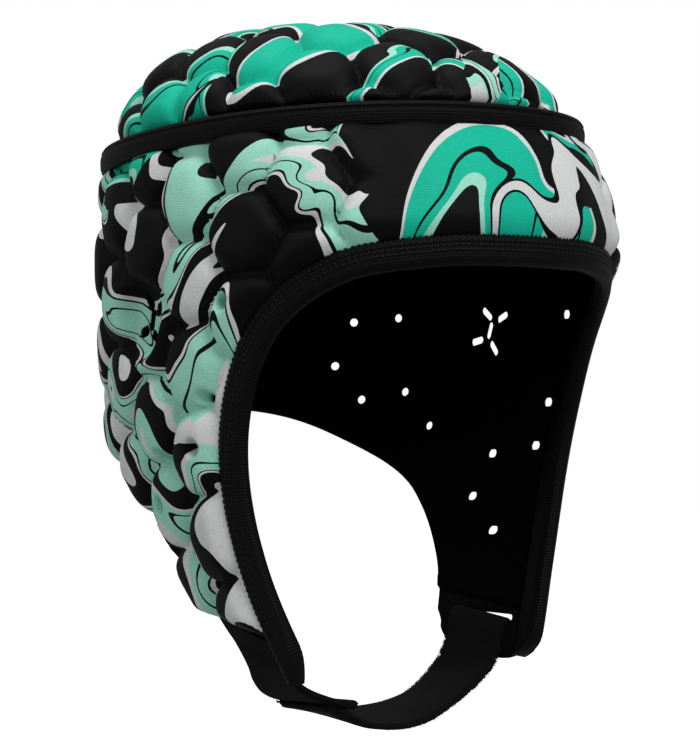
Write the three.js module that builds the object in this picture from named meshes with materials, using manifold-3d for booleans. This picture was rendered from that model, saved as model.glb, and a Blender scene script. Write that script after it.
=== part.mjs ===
// Soft padded head guard for rugby, as it is worn: a foam crown and a foam wall with ear flaps, sewn
// together under a raised piping, lined, bound round the face opening and closed under the chin.
// Millimetres, +Z up. The face looks along -Y and +X is the wearer's left. The origin is the middle
// of the inside of the crown, where the guard sits on the head.
import * as THREE from "three";
import { mergeVertices } from "three/addons/utils/BufferGeometryUtils.js";
import Module from "manifold-3d";

const wasm = await Module();
wasm.setup();

// Driving dimensions. Offsets are distances outside the head form, which is the inside of the lining.
const HEAD = {
  halfLength: 96.5,
  halfWidth: 78.5,
  domeHeight: 95, // from the widest level up to the inside of the crown
  domePower: 2.8,
  planPower: 2.2,
  apexBack: 23.5, // the highest point lies behind the middle of the head
};
const FLAP = {
  drop: 117, // depth below the widest level at which the next three values hold
  tuck: 21, // how far the flaps lean in towards the jaw
  rearTuck: 0.24, // extra lean for each millimetre towards the back
  rearTuckEnd: 40, // and no more lean than this far back
  swing: 8.4, // the fastened strap draws the right flap forward and the left one back
  end: 145, // depth at which the form stops leaning
};
const GAP = 0.3;
const LINING = { thickness: 1 };
const FOAM = {
  inner: LINING.thickness + GAP,
  edge: 3.8,
  valley: 5,
  peak: 10.4,
  taper: 11, // distance from an edge over which the foam reaches its full height
  seamTaper: 9, // how far that taper is already done at the piping
};
const CELL = {
  columns: 22,
  rows: 7,
  pitch: 30,
  topZ: -31.5,
  rise: 0.12, // slope of the rows up towards the front, for each riseDepth down the wall
  riseDepth: 100,
  riseMost: 1.3,
};
const CROWN_CELL = { side: 16.5, reach: 106 };
const FRONT = { half: 50, fade: 14, fullness: 0.55 }; // the forehead panel has no cells
const SEAM = { z: -37.3, slope: -0.054 }; // the crown is sewn on along a plane that falls to the back
const PIPING = { height: 7, inner: 2, outer: 11.6, round: 2.2, steps: 40 };
const BINDING = { width: 10, inner: -1.6, outer: 5.2, round: 1.8, steps: 40 };
const TAB = { outer: 3 };
const STRAP = { width: 30, thickness: 2.2, middleY: -10.2, skew: 0.221, steps: 40 };
const TONGUE = { width: 33, thickness: 2.4, steps: 12 };
const SLOT = { y: 0.5, z: -214, length: 39, height: 6 };
const VENT = { radius: 1.65, sides: 6 };
const REACH = 170; // past everything, for cutters
const CUT_DEPTH = 4 * FOAM.peak;
const WELD = 1e-4;
const FORM = { turns: 28, depths: [0.4, 6, 17, 32, 55, 95, 125, 155, 183, 210, 240] };
const STEP = { turn: 0.02, z: 0.5 }; // for normals
const POLE = { length: 1, z: -0.02 }; // closer to the top of the dome than this counts as the top

// The lower outline of the wall, seen from the side: the face opening from the forehead down to the
// front of a flap, and the neck edge from the nape down to the back of a flap.
const FACE_EDGE = [
  { y: -125, z: -85.5 },
  { y: -92, z: -86.5 },
  { y: -70, z: -92.5 },
  { y: -49, z: -109 },
  { y: -37, z: -133 },
  { y: -32, z: -160 },
  { y: -34, z: -192 },
  { y: -41.6, z: -224.5 },
];
const NECK_EDGE = [
  { y: 125, z: -128 },
  { y: 97, z: -132.5 },
  { y: 74, z: -145.5 },
  { y: 45.5, z: -163.5 },
  { y: 23.5, z: -191 },
  { y: 12.5, z: -213 },
  { y: 7, z: -223 },
];
const FLAP_END = { z: -228.5, round: 11, lean: 1, steps: 4 };

// Where the foam of each flap ends, at two places in the side view.
const FOAM_END = { rearY: 16, frontY: -42 };
const FOAM_END_LINES = [
  { side: -1, rearZ: -207, frontZ: -217 },
  { side: 1, rearZ: -199, frontZ: -208 },
];

// Ear vent: short slots along two joined Y shapes, in the side view.
const EAR = { y: 17, z: -102.5, slotLength: 6.2, slotRadius: 1.3 };
const EAR_SLOTS = [
  { back: 0, down: 0, turn: 107 },
  { back: -7, down: -5, turn: 156 },
  { back: 6.5, down: 4, turn: 168 },
  { back: -2.5, down: 7, turn: 51 },
  { back: 1.5, down: -6.5, turn: 40 },
];

// Round vents of one side, in the side view.
const VENTS = [
  { y: 74, z: -98 },
  { y: 59, z: -96.5 },
  { y: 79, z: -115.5 },
  { y: 70.5, z: -129 },
  { y: 55, z: -126 },
  { y: 43, z: -139.5 },
  { y: 9.5, z: -150.5 },
  { y: -14.5, z: -147.5 },
  { y: -20, z: -131 },
  { y: 15.5, z: -167 },
  { y: 0.5, z: -180 },
  { y: -31, z: -98 },
];

// Middle line of the strap, from its free end under the tongue, round the chin, up inside the left
// flap, out through the slot and down outside. Lean and roll turn the band about Z and about its line.
const STRAP_LINE = [
  { x: -38, z: -241.4, lean: 0, roll: 0 },
  { x: -28, z: -243.9, lean: 0, roll: 0.09 },
  { x: -16, z: -246.5, lean: 0, roll: 0.15 },
  { x: -4, z: -247.7, lean: 0, roll: 0.17 },
  { x: 8, z: -247.5, lean: 0, roll: 0.17 },
  { x: 20, z: -246.2, lean: 0, roll: 0.13 },
  { x: 32, z: -242.5, lean: 0, roll: 0.06 },
  { x: 42, z: -237.6, lean: 0.03, roll: 0.05 },
  { x: 48, z: -233.2, lean: 0.1, roll: 0.05 },
  { x: 51.6, y: -0.2, z: -228.6, lean: 0.22, roll: 0.05 },
  { x: 53.8, y: 0, z: -222.5, lean: 0.25, roll: 0.02 },
  { x: 55, y: 0.2, z: -216.8, lean: 0.26, roll: 0 },
  { x: 59.6, y: 0.8, z: -213.6, lean: 0.2, roll: 0 },
  { x: 63.4, y: 1.4, z: -215.6, lean: 0.2, roll: 0 },
  { x: 62.2, y: 1.2, z: -221, lean: 0.2, roll: 0 },
  { x: 60.4, y: 0.8, z: -228, lean: 0.2, roll: 0 },
];
// Middle line of the right flap's tongue, which lies on the strap's free end.
const TONGUE_LINE = [
  { x: -60.4, y: -26, z: -222, lean: -0.26, roll: 0 },
  { x: -55.8, y: -25, z: -229.4, lean: -0.2, roll: 0 },
  { x: -48.4, y: -22, z: -234.8, lean: -0.08, roll: 0 },
  { x: -38, y: -18.6, z: -238.3, lean: 0, roll: 0.03 },
  { x: -26, y: -16.3, z: -240.4, lean: 0, roll: 0.08 },
  { x: -22, y: -15.5, z: -241.2, lean: 0, roll: 0.09 },
];

const COLOURS = { print: 0x12a57f, lining: 0x0b0c0d, trim: 0x111214, strap: 0x15171a };

// Head form

const { clamp, degToRad, lerp, smoothstep } = THREE.MathUtils;
const signedPower = (value, power) => Math.sign(value) * Math.abs(value) ** power;

/** Section of the head form at a height: its share of the full plan, its middle and its lean. */
function section(z) {
  const up = clamp((z + HEAD.domeHeight) / HEAD.domeHeight, 0, 1);
  const share = (1 - up ** HEAD.domePower) ** (1 / HEAD.domePower);
  const drop = clamp(-HEAD.domeHeight - z, 0, FLAP.end) / FLAP.drop;
  return { share, middle: HEAD.apexBack * up * up, lean: drop * drop };
}

/** The unit plan outline at a turn from the front; 90 degrees is the wearer's left. */
function planDirection(turn) {
  const power = 2 / HEAD.planPower;
  return { left: signedPower(Math.sin(turn), power), back: -signedPower(Math.cos(turn), power) };
}

/** Where a turn and a height lie in the side view, before the strap swings the flaps. */
function stillY(turn, z) {
  const { share, middle } = section(z);
  return middle + HEAD.halfLength * share * planDirection(turn).back;
}

/** Turn of the left half at which the head form has a side-view place. */
function turnOf(y, z) {
  const { share, middle } = section(z);
  const back = clamp((y - middle) / (HEAD.halfLength * share), -1, 1);
  return Math.acos(-signedPower(back, HEAD.planPower / 2));
}

/** How far the strap moves a height of one side along Y; side is 1 on the left and -1 on the right. */
const swingAt = (side, z) => side * FLAP.swing * section(z).lean ** 2;

function formPoint(turn, z) {
  const { share, lean } = section(z);
  const { left } = planDirection(turn);
  const y = stillY(turn, z);
  const tuck = FLAP.tuck + FLAP.rearTuck * Math.min(y, FLAP.rearTuckEnd);
  return new THREE.Vector3(left * (HEAD.halfWidth * share - lean * tuck), y + swingAt(left, z), z);
}

/** Outward normal of the head form, from short steps along it. */
function formNormal(turn, z) {
  const around = formPoint(turn + STEP.turn, z).sub(formPoint(turn - STEP.turn, z));
  const down = formPoint(turn, z - STEP.z).sub(formPoint(turn, z + STEP.z));
  return down.cross(around).normalize();
}

const offsetPoint = (turn, z, offset) => formPoint(turn, z).addScaledVector(formNormal(turn, z), offset);

// Arc length round the widest level, from the front centre, for evenly spaced columns of cells.
const ARC_STEPS = 720;
const arcTable = [0];
for (let step = 1; step <= ARC_STEPS; step++) {
  const from = formPoint(((step - 1) * Math.PI) / ARC_STEPS, -HEAD.domeHeight);
  const to = formPoint((step * Math.PI) / ARC_STEPS, -HEAD.domeHeight);
  arcTable.push(arcTable[step - 1] + from.distanceTo(to));
}
const HALF_ROUND = arcTable[ARC_STEPS];

/** Turn at an arc length round the widest level; to the right it is negative. */
function turnAt(arc) {
  const length = Math.min(Math.abs(arc), HALF_ROUND);
  const step = Math.max(1, arcTable.findIndex((reached) => reached >= length));
  const share = (length - arcTable[step - 1]) / (arcTable[step] - arcTable[step - 1]);
  return (Math.sign(arc) * (step - 1 + share) * Math.PI) / ARC_STEPS;
}

// Solids

/** A closed solid from shared vertices and triangles. */
function solidOf(points, triangles) {
  const vertProperties = new Float32Array(points.flatMap((p) => [p.x, p.y, p.z]));
  const triVerts = new Uint32Array(triangles.flat());
  return new wasm.Manifold(new wasm.Mesh({ numProp: 3, vertProperties, triVerts }));
}

/** A solid from a closed three.js geometry. */
function solidFrom(geometry) {
  geometry.deleteAttribute("normal");
  geometry.deleteAttribute("uv");
  const merged = mergeVertices(geometry, WELD);
  const vertProperties = merged.attributes.position.array;
  return new wasm.Manifold(
    new wasm.Mesh({ numProp: 3, vertProperties, triVerts: new Uint32Array(merged.index.array) }),
  );
}

/** Joins rings of equal length, in order, into a tube; its ends are fans to two points. */
function fannedTube(rings, first, last) {
  const count = rings[0].length;
  const points = [...rings.flat(), first, last];
  const end = (rings.length - 1) * count;
  const triangles = [];
  for (let k = 0; k < count; k++) {
    const next = (k + 1) % count;
    triangles.push([points.length - 2, k, next]);
    for (let row = 0; row < end; row += count) {
      triangles.push([row + k, row + count + k, row + next]);
      triangles.push([row + next, row + count + k, row + count + next]);
    }
    triangles.push([end + next, end + k, points.length - 1]);
  }
  return solidOf(points, triangles);
}

/** Joins rings into a closed loop. */
function loopTube(rings) {
  const count = rings[0].length;
  const triangles = [];
  rings.forEach((_, row) => {
    const here = row * count;
    const there = ((row + 1) % rings.length) * count;
    for (let k = 0; k < count; k++) {
      const next = (k + 1) % count;
      triangles.push([here + k, there + k, here + next], [here + next, there + k, there + next]);
    }
  });
  return solidOf(rings.flat(), triangles);
}

const middleOf = (points) =>
  points.reduce((sum, p) => sum.add(p), new THREE.Vector3()).divideScalar(points.length);
const cappedTube = (rings) => fannedTube(rings, middleOf(rings[0]), middleOf(rings.at(-1)));

/** The head form grown by an offset, closed below the flaps. */
function headSolid(offset) {
  const turns = Array.from({ length: FORM.turns }, (_, k) => (k / FORM.turns) * 2 * Math.PI);
  const rings = FORM.depths.map((depth) => turns.map((turn) => offsetPoint(turn, -depth, offset)));
  const top = new THREE.Vector3(0, HEAD.apexBack, offset);
  return fannedTube(rings, top, new THREE.Vector3(0, 0, -2 * REACH));
}

const aboveSeam = (y, z) => z - SEAM.z - SEAM.slope * y;
const seamFrame = new THREE.Matrix4().makeRotationX(Math.atan(SEAM.slope)).setPosition(0, 0, SEAM.z);

/** A wide box along the plane of the seam, between two heights above it. */
function seamSlab(low, high) {
  const geometry = new THREE.BoxGeometry(2 * REACH, 2 * REACH, high - low);
  geometry.translate(0, 0, (low + high) / 2);
  return solidFrom(geometry.applyMatrix4(seamFrame));
}

/** A prism along X on one side of the head, from an outline in the side view that the strap swings. */
function sidePrism(outline, side) {
  const shape = new THREE.Shape(outline.map((p) => new THREE.Vector2(p.y + swingAt(side, p.z), p.z)));
  const geometry = new THREE.ExtrudeGeometry(shape, { depth: REACH, bevelEnabled: false });
  const axes = [new THREE.Vector3(0, 1, 0), new THREE.Vector3(0, 0, 1), new THREE.Vector3(1, 0, 0)];
  geometry.applyMatrix4(new THREE.Matrix4().makeBasis(...axes));
  if (side < 0) geometry.translate(-REACH, 0, 0);
  return solidFrom(geometry);
}

const bothSides = (outline) => sidePrism(outline, -1).add(sidePrism(outline, 1));

// Outline of the wall

const EDGE_STEPS = 16;
const splineThrough = (rows, count) =>
  new THREE.SplineCurve(rows.map((p) => new THREE.Vector2(p.y, p.z)))
    .getSpacedPoints(count)
    .map((p) => ({ y: p.x, z: p.y }));
const facePoints = splineThrough(FACE_EDGE, EDGE_STEPS);
const neckPoints = splineThrough(NECK_EDGE, EDGE_STEPS);

/** The rounded end of a flap, from the last point of the face edge to that of the neck edge. */
function flapEnd() {
  const front = FACE_EDGE.at(-1);
  const rear = NECK_EDGE.at(-1);
  const path = new THREE.Path();
  path.moveTo(front.y, front.z);
  path.quadraticCurveTo(front.y - FLAP_END.lean, FLAP_END.z, front.y + FLAP_END.round, FLAP_END.z);
  path.lineTo(rear.y - FLAP_END.round, FLAP_END.z);
  path.quadraticCurveTo(rear.y - FLAP_END.lean, FLAP_END.z, rear.y, rear.z);
  return path.getPoints(FLAP_END.steps).map((p) => ({ y: p.x, z: p.y }));
}

const lowerEdge = [...facePoints, ...flapEnd().slice(1, -1), ...neckPoints.toReversed()];
const wallOutline = [...lowerEdge, { y: NECK_EDGE[0].y, z: 0 }, { y: FACE_EDGE[0].y, z: 0 }];
const outlineSolid = bothSides(wallOutline);

const nearest = (edge, y, z) => Math.min(...edge.map((p) => Math.hypot(p.y - y, p.z - z)));

/** Whether a side-view place lies inside the outline of the wall. */
function insideWall(y, z) {
  let inside = false;
  wallOutline.forEach((p, i) => {
    const q = wallOutline.at(i - 1);
    const crosses = p.z > z !== q.z > z && y < ((q.y - p.y) * (z - p.z)) / (q.z - p.z) + p.y;
    if (crosses) inside = !inside;
  });
  return inside;
}

/** Everything below the lines where the foam ends on the flaps, moved down by a gap. */
function belowFoam(gap) {
  const sides = FOAM_END_LINES.map(({ side, rearZ, frontZ }) => {
    const slope = (rearZ - frontZ) / (FOAM_END.rearY - FOAM_END.frontY);
    const ends = [-REACH / 2, REACH / 2];
    const level = ends.map((y) => ({ y, z: rearZ + slope * (y - FOAM_END.rearY) - gap }));
    return sidePrism([...ends.map((y) => ({ y, z: -2 * REACH })), ...level.reverse()], side);
  });
  return sides[0].add(sides[1]);
}

// Foam cells

// Height of a domed cell at a share of the way out from its middle to its corners.
const DOME_RING = { reach: 0.64, rise: 0.9 };
const CORNERS = [
  { across: 2, down: 0 },
  { across: 1, down: -1 },
  { across: -1, down: -1 },
  { across: -2, down: 0 },
  { across: -1, down: 1 },
  { across: 1, down: 1 },
];

/** Six-sided domed cells that share their corners; a place function puts lattice positions in space. */
class CellSheet {
  constructor(place) {
    this.place = place;
    this.points = [];
    this.corners = new Map();
    this.triangles = [];
  }

  point(across, down, rise) {
    return this.points.push(this.place(across, down, rise)) - 1;
  }

  corner(across, down, key) {
    if (!this.corners.has(key)) this.corners.set(key, { across, down, index: this.point(across, down, 0) });
    return this.corners.get(key).index;
  }

  cell(across, down, keyOf) {
    const places = CORNERS.map((c) => [across + c.across, down + c.down]);
    const outer = places.map(([a, d]) => this.corner(a, d, keyOf(a, d)));
    const { reach, rise } = DOME_RING;
    const inner = CORNERS.map((c) => this.point(across + c.across * reach, down + c.down * reach, rise));
    const middle = this.point(across, down, 1);
    outer.forEach((here, k) => {
      const next = (k + 1) % CORNERS.length;
      this.triangles.push([here, outer[next], inner[k]], [outer[next], inner[next], inner[k]]);
      this.triangles.push([inner[k], inner[next], middle]);
    });
  }

  /** A solid whose open rims are fanned to the points that the chooser gives. */
  closed(choose) {
    const open = new Map();
    for (const [a, b, c] of this.triangles)
      for (const [from, to] of [[a, b], [b, c], [c, a]])
        if (!open.delete(`${to},${from}`)) open.set(`${from},${to}`, [from, to]);
    const ends = new Map();
    for (const [from, to] of open.values()) {
      const end = choose(this.points[from]);
      if (!ends.has(end)) ends.set(end, this.points.push(end) - 1);
      this.triangles.push([to, from, ends.get(end)]);
    }
    return solidOf(this.points, this.triangles);
  }
}

const COLUMN = (2 * HALF_ROUND) / CELL.columns; // between the middles of neighbouring columns
const LATTICE_ROUND = 3 * CELL.columns;

/** Where a wall lattice position lies: arc length from the front centre, and height. */
function wallPlace(across, down) {
  const once = (across * COLUMN) / 3;
  const arc = once > HALF_ROUND ? once - 2 * HALF_ROUND : once;
  const level = CELL.topZ - (down * CELL.pitch) / 2;
  const depth = clamp((CELL.topZ - level) / CELL.riseDepth, 0, CELL.riseMost);
  return { arc, z: level + CELL.rise * (HALF_ROUND / 2 - Math.abs(arc)) * depth };
}

/** Outside of the foam, thinner at the edges of the wall and even across the forehead. */
function wallOffset(arc, y, z, rise) {
  const front = 1 - smoothstep(Math.abs(arc), FRONT.half, FRONT.half + FRONT.fade);
  const full = lerp(FOAM.valley, FOAM.peak, lerp(rise, FRONT.fullness, front));
  const seam = FOAM.seamTaper - PIPING.height / 2 - aboveSeam(y, z);
  const edge = insideWall(y, z) ? Math.min(nearest(lowerEdge, y, z), seam) : 0;
  return lerp(FOAM.edge, full, smoothstep(edge, 0, FOAM.taper));
}

const wallSheet = new CellSheet((across, down, rise) => {
  const { arc, z } = wallPlace(across, down);
  const turn = turnAt(arc);
  return offsetPoint(turn, z, wallOffset(arc, stillY(turn, z), z, rise));
});
const wallKey = (across, down) => `${(across + LATTICE_ROUND) % LATTICE_ROUND},${down}`;
for (let column = 0; column < CELL.columns; column++)
  for (let row = 0; row < CELL.rows; row++) wallSheet.cell(3 * column, 2 * row + ((column + 1) % 2), wallKey);
const wallTop = new THREE.Vector3(0, 0, 0);
const wallBottom = new THREE.Vector3(0, 0, -2 * REACH);
const wallBlank = wallSheet.closed((rim) => (rim.z > -HEAD.domeHeight ? wallTop : wallBottom));

// Arc length down the dome at the mean half width of the head.
const MEAN_HALF = (HEAD.halfLength + HEAD.halfWidth) / 2;
const DOME_STEPS = 200;
const domeTable = [{ z: 0, length: 0 }];
for (let step = 1; step <= DOME_STEPS; step++) {
  const last = domeTable[step - 1];
  const z = HEAD.domeHeight * (Math.cos((step * Math.PI) / 2 / DOME_STEPS) ** (2 / HEAD.domePower) - 1);
  const across = (section(z).share - section(last.z).share) * MEAN_HALF;
  domeTable.push({ z, length: last.length + Math.hypot(across, z - last.z) });
}

/** Turn, height and distance from the top of a place laid out flat on the crown. */
function domePlace(left, back) {
  const across = (left * MEAN_HALF) / HEAD.halfWidth;
  const along = (back * MEAN_HALF) / HEAD.halfLength;
  const length = Math.hypot(across, along);
  const step = clamp(domeTable.findIndex((row) => row.length >= length), 1, DOME_STEPS);
  const [low, high] = [domeTable[step - 1], domeTable[step]];
  const z = lerp(low.z, high.z, (length - low.length) / (high.length - low.length));
  const power = HEAD.planPower / 2;
  return { turn: Math.atan2(signedPower(across, power), -signedPower(along, power)), z, length };
}

const CROWN_ROW = (CROWN_CELL.side * Math.sqrt(3)) / 2;
const crownPlace = (across, down) => domePlace((across * CROWN_CELL.side) / 2, -down * CROWN_ROW);

const crownSheet = new CellSheet((across, down, rise) => {
  const { turn, z, length } = crownPlace(across, down);
  const seam = aboveSeam(stillY(turn, z), z) - PIPING.height / 2 + FOAM.seamTaper;
  const full = lerp(FOAM.valley, FOAM.peak, rise);
  const offset = lerp(FOAM.edge, full, smoothstep(seam, 0, FOAM.taper));
  if (length < POLE.length) return new THREE.Vector3(0, HEAD.apexBack, offset);
  return offsetPoint(turn, Math.min(z, POLE.z), offset);
});
const CROWN_COLUMN = 1.5 * CROWN_CELL.side;
const crownColumns = Math.ceil(CROWN_CELL.reach / CROWN_COLUMN);
const crownRows = Math.ceil((CROWN_CELL.reach * HEAD.halfLength) / HEAD.halfWidth / CROWN_ROW);
for (let column = -crownColumns; column <= crownColumns; column++)
  for (let row = -crownRows; row <= crownRows; row++) {
    if ((column + row) % 2) continue;
    if (crownPlace(3 * column, row).length < CROWN_CELL.reach)
      crownSheet.cell(3 * column, row, (across, down) => `${across},${down}`);
  }
const crownRim = new THREE.Vector3(0, 0, -HEAD.domeHeight);
const crownBlank = crownSheet.closed(() => crownRim);

// Edge binding of the face opening

const ROUND_SCALE = 90; // millimetres along the head for each radian of turn
const BROW_TURN = 0.25; // the edge runs straight across the brow between this turn left and right
const BINDING_ROOM = { ahead: 8, under: 4, over: 2 * FOAM.peak, overrun: 10 };

/** The face edge in turn and height, from the end of the left flap over the brow to that of the right. */
function faceLine() {
  const left = facePoints
    .map((p) => new THREE.Vector2(ROUND_SCALE * turnOf(p.y, p.z), p.z))
    .filter((p) => p.x > ROUND_SCALE * BROW_TURN)
    .reverse();
  const middle = new THREE.Vector2(0, facePoints.find((p) => p.y > -HEAD.halfLength).z);
  const right = left.toReversed().map((p) => new THREE.Vector2(-p.x, p.y));
  return new THREE.SplineCurve([...left, middle, ...right]);
}

/** A bar along the face edge and past its ends; section rows give a depth into the wall and an offset. */
function alongFaceEdge(sectionRows, overrun) {
  const places = faceLine().getSpacedPoints(BINDING.steps);
  const spots = places.map((p) => formPoint(p.x / ROUND_SCALE, p.y));
  const last = spots.length - 1;
  const rings = places.map((p, i) => {
    const normal = formNormal(p.x / ROUND_SCALE, p.y);
    const along = spots[Math.min(i + 1, last)].clone().sub(spots[Math.max(i - 1, 0)]).normalize();
    const inward = along.clone().cross(normal).normalize();
    const start = spots[i].clone();
    if (i === 0) start.addScaledVector(along, -overrun);
    if (i === last) start.addScaledVector(along, overrun);
    return sectionRows.map(({ into, offset }) =>
      start.clone().addScaledVector(inward, into).addScaledVector(normal, offset),
    );
  });
  return cappedTube(rings);
}

const BINDING_SECTION = [
  { into: 0, offset: BINDING.inner + BINDING.round },
  { into: BINDING.round, offset: BINDING.inner },
  { into: BINDING.width, offset: BINDING.inner },
  { into: BINDING.width, offset: BINDING.outer - BINDING.round },
  { into: BINDING.width - BINDING.round, offset: BINDING.outer },
  { into: BINDING.round, offset: BINDING.outer },
  { into: 0, offset: BINDING.outer - BINDING.round },
];
const ROOM_SECTION = [
  { into: -BINDING_ROOM.ahead, offset: -BINDING_ROOM.under },
  { into: BINDING.width + GAP, offset: -BINDING_ROOM.under },
  { into: BINDING.width + GAP, offset: BINDING_ROOM.over },
  { into: -BINDING_ROOM.ahead, offset: BINDING_ROOM.over },
];
const bindingBar = alongFaceEdge(BINDING_SECTION, 0);
const bindingRoom = alongFaceEdge(ROOM_SECTION, BINDING_ROOM.overrun);

// Piping between crown and wall

const SEAM_ROUNDS = 5; // repeats after which the height of the seam at a turn no longer changes

/** Height of the head form at a turn, a distance above the seam. */
function seamHeight(turn, above) {
  let z = SEAM.z;
  for (let round = 0; round < SEAM_ROUNDS; round++) z = SEAM.z + above + SEAM.slope * stillY(turn, z);
  return z;
}

/** A point beside the head form; form and up are heights above the seam, of the form and of the point. */
function besideSeam(turn, { form, out, up }) {
  const formZ = seamHeight(turn, form);
  const normal = formNormal(turn, formZ).setZ(0).normalize();
  const point = formPoint(turn, formZ).addScaledVector(normal, out);
  return point.setZ(SEAM.z + SEAM.slope * point.y + up);
}

function pipingRing() {
  const half = PIPING.height / 2;
  const rows = [
    { form: half, out: PIPING.inner, up: half },
    { form: -half, out: PIPING.inner, up: -half },
    { form: 0, out: PIPING.outer - PIPING.round, up: -half },
    { form: 0, out: PIPING.outer, up: PIPING.round - half },
    { form: 0, out: PIPING.outer, up: half - PIPING.round },
    { form: 0, out: PIPING.outer - PIPING.round, up: half },
  ];
  const turns = Array.from({ length: PIPING.steps }, (_, k) => (k / PIPING.steps) * 2 * Math.PI);
  return loopTube(turns.map((turn) => rows.map((row) => besideSeam(turn, row))));
}

const pipingRoom = seamSlab(-PIPING.height / 2 - GAP, PIPING.height / 2 + GAP);

// Vents

/** A round hole along the normal of the wall. */
function roundVent(turn, z) {
  const geometry = new THREE.CylinderGeometry(VENT.radius, VENT.radius, CUT_DEPTH, VENT.sides);
  const turned = new THREE.Quaternion().setFromUnitVectors(new THREE.Vector3(0, 1, 0), formNormal(turn, z));
  geometry.applyQuaternion(turned);
  geometry.translate(...formPoint(turn, z));
  return solidFrom(geometry);
}

/** A slot with round ends through one side of the wall, along a direction in the side view. */
function sideSlot(side, y, z, direction, length, radius) {
  const shape = new THREE.Shape();
  const half = length / 2 - radius;
  shape.absarc(half, 0, radius, -Math.PI / 2, Math.PI / 2);
  shape.absarc(-half, 0, radius, Math.PI / 2, 1.5 * Math.PI);
  const options = { depth: CUT_DEPTH, bevelEnabled: false, curveSegments: 2 };
  const geometry = new THREE.ExtrudeGeometry(shape, options);
  geometry.translate(0, 0, -CUT_DEPTH / 2);
  const turn = side * turnOf(y, z);
  const normal = formNormal(turn, z);
  const along = new THREE.Vector3(0, Math.cos(direction), Math.sin(direction));
  along.addScaledVector(normal, -along.dot(normal)).normalize();
  const axes = new THREE.Matrix4().makeBasis(along, normal.clone().cross(along), normal);
  geometry.applyMatrix4(axes.setPosition(formPoint(turn, z)));
  return solidFrom(geometry);
}

const wallVents = [-1, 1].flatMap((side) => VENTS.map(({ y, z }) => roundVent(side * turnOf(y, z), z)));
const earVents = [-1, 1].flatMap((side) =>
  EAR_SLOTS.map(({ back, down, turn }) =>
    sideSlot(side, EAR.y + back, EAR.z - down, degToRad(turn), EAR.slotLength, EAR.slotRadius),
  ),
);

// Strap and flap ends

/** A band along a middle line of table rows; y follows the skew where a row doesn't give it. */
function band(rows, width, thickness, steps) {
  const line = new THREE.CatmullRomCurve3(
    rows.map(({ x, y = STRAP.middleY + STRAP.skew * x, z }) => new THREE.Vector3(x, y, z)),
  );
  const sideways = new THREE.CatmullRomCurve3(
    rows.map(({ lean, roll }) => new THREE.Vector3(-lean, 1, roll)),
  );
  const rings = Array.from({ length: steps + 1 }, (_, i) => {
    const middle = line.getPoint(i / steps);
    const across = sideways.getPoint(i / steps);
    const up = line.getTangent(i / steps).cross(across).normalize();
    across.multiplyScalar(width / 2);
    up.multiplyScalar(thickness / 2);
    return [
      middle.clone().add(up).sub(across),
      middle.clone().add(up).add(across),
      middle.clone().sub(up).add(across),
      middle.clone().sub(up).sub(across),
    ];
  });
  return cappedTube(rings);
}

// Assembly

const outsideHead = (outer, inner) => headSolid(outer).subtract(headSolid(inner));
const cutAll = (solid, cutters) => cutters.reduce((left, cutter) => left.subtract(cutter), solid);
const lowSlab = seamSlab(-2 * REACH, 0);
const highSlab = seamSlab(0, REACH);
const rightBox = new THREE.BoxGeometry(REACH, 2 * REACH, 4 * REACH);
const rightHalf = solidFrom(rightBox.translate(-REACH / 2, 0, 0));

const liningSkin = outsideHead(LINING.thickness, 0);
const foamCore = headSolid(FOAM.inner);
const wallSkin = liningSkin.intersect(seamSlab(-2 * REACH, -GAP / 2));
const flapEnds = outsideHead(TAB.outer, 0).intersect(outlineSolid).intersect(belowFoam(GAP));
const tongue = band(TONGUE_LINE, TONGUE.width, TONGUE.thickness, TONGUE.steps);
const strapSlot = sideSlot(1, SLOT.y - swingAt(1, SLOT.z), SLOT.z, 0, SLOT.length, SLOT.height / 2);

const pieces = [
  {
    name: "crown_pad",
    finish: "print",
    solid: cutAll(crownBlank.intersect(highSlab), [foamCore, pipingRoom]),
  },
  {
    name: "wall_pad",
    finish: "print",
    solid: cutAll(wallBlank.intersect(lowSlab).intersect(outlineSolid), [
      foamCore, pipingRoom, bindingRoom, belowFoam(0), ...wallVents, ...earVents,
    ]),
  },
  {
    name: "crown_lining",
    finish: "lining",
    solid: liningSkin.intersect(seamSlab(GAP / 2, REACH)),
  },
  {
    name: "wall_lining",
    finish: "lining",
    solid: cutAll(wallSkin.intersect(outlineSolid), [bindingRoom, belowFoam(0), ...wallVents, ...earVents]),
  },
  { name: "crown_piping", finish: "trim", solid: pipingRing() },
  { name: "face_binding", finish: "trim", solid: bindingBar },
  {
    name: "right_tab",
    finish: "trim",
    solid: flapEnds.intersect(rightHalf).add(tongue).subtract(bindingRoom),
  },
  {
    name: "left_tab",
    finish: "trim",
    solid: cutAll(flapEnds, [rightHalf, bindingRoom, strapSlot]),
  },
  {
    name: "chin_strap",
    finish: "strap",
    solid: band(STRAP_LINE, STRAP.width, STRAP.thickness, STRAP.steps),
  },
];

const headGuard = new THREE.Group();
for (const { name, finish, solid } of pieces) {
  const { vertProperties, triVerts } = solid.getMesh();
  const geometry = new THREE.BufferGeometry();
  geometry.setAttribute("position", new THREE.BufferAttribute(vertProperties, 3));
  geometry.setIndex(new THREE.BufferAttribute(triVerts, 1));
  geometry.computeVertexNormals();
  const material = new THREE.MeshStandardMaterial({ color: COLOURS[finish], roughness: 0.8, metalness: 0 });
  const mesh = new THREE.Mesh(geometry, material);
  mesh.name = name;
  headGuard.add(mesh);
}

export default headGuard;
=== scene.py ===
"""Looks of the padded head guard: printed foam pads, linings, piping, binding, flap ends and chin strap."""

from __future__ import annotations

import logging
import math
from dataclasses import dataclass, field
from enum import Enum
from functools import cached_property
from typing import Callable, Sequence

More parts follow.
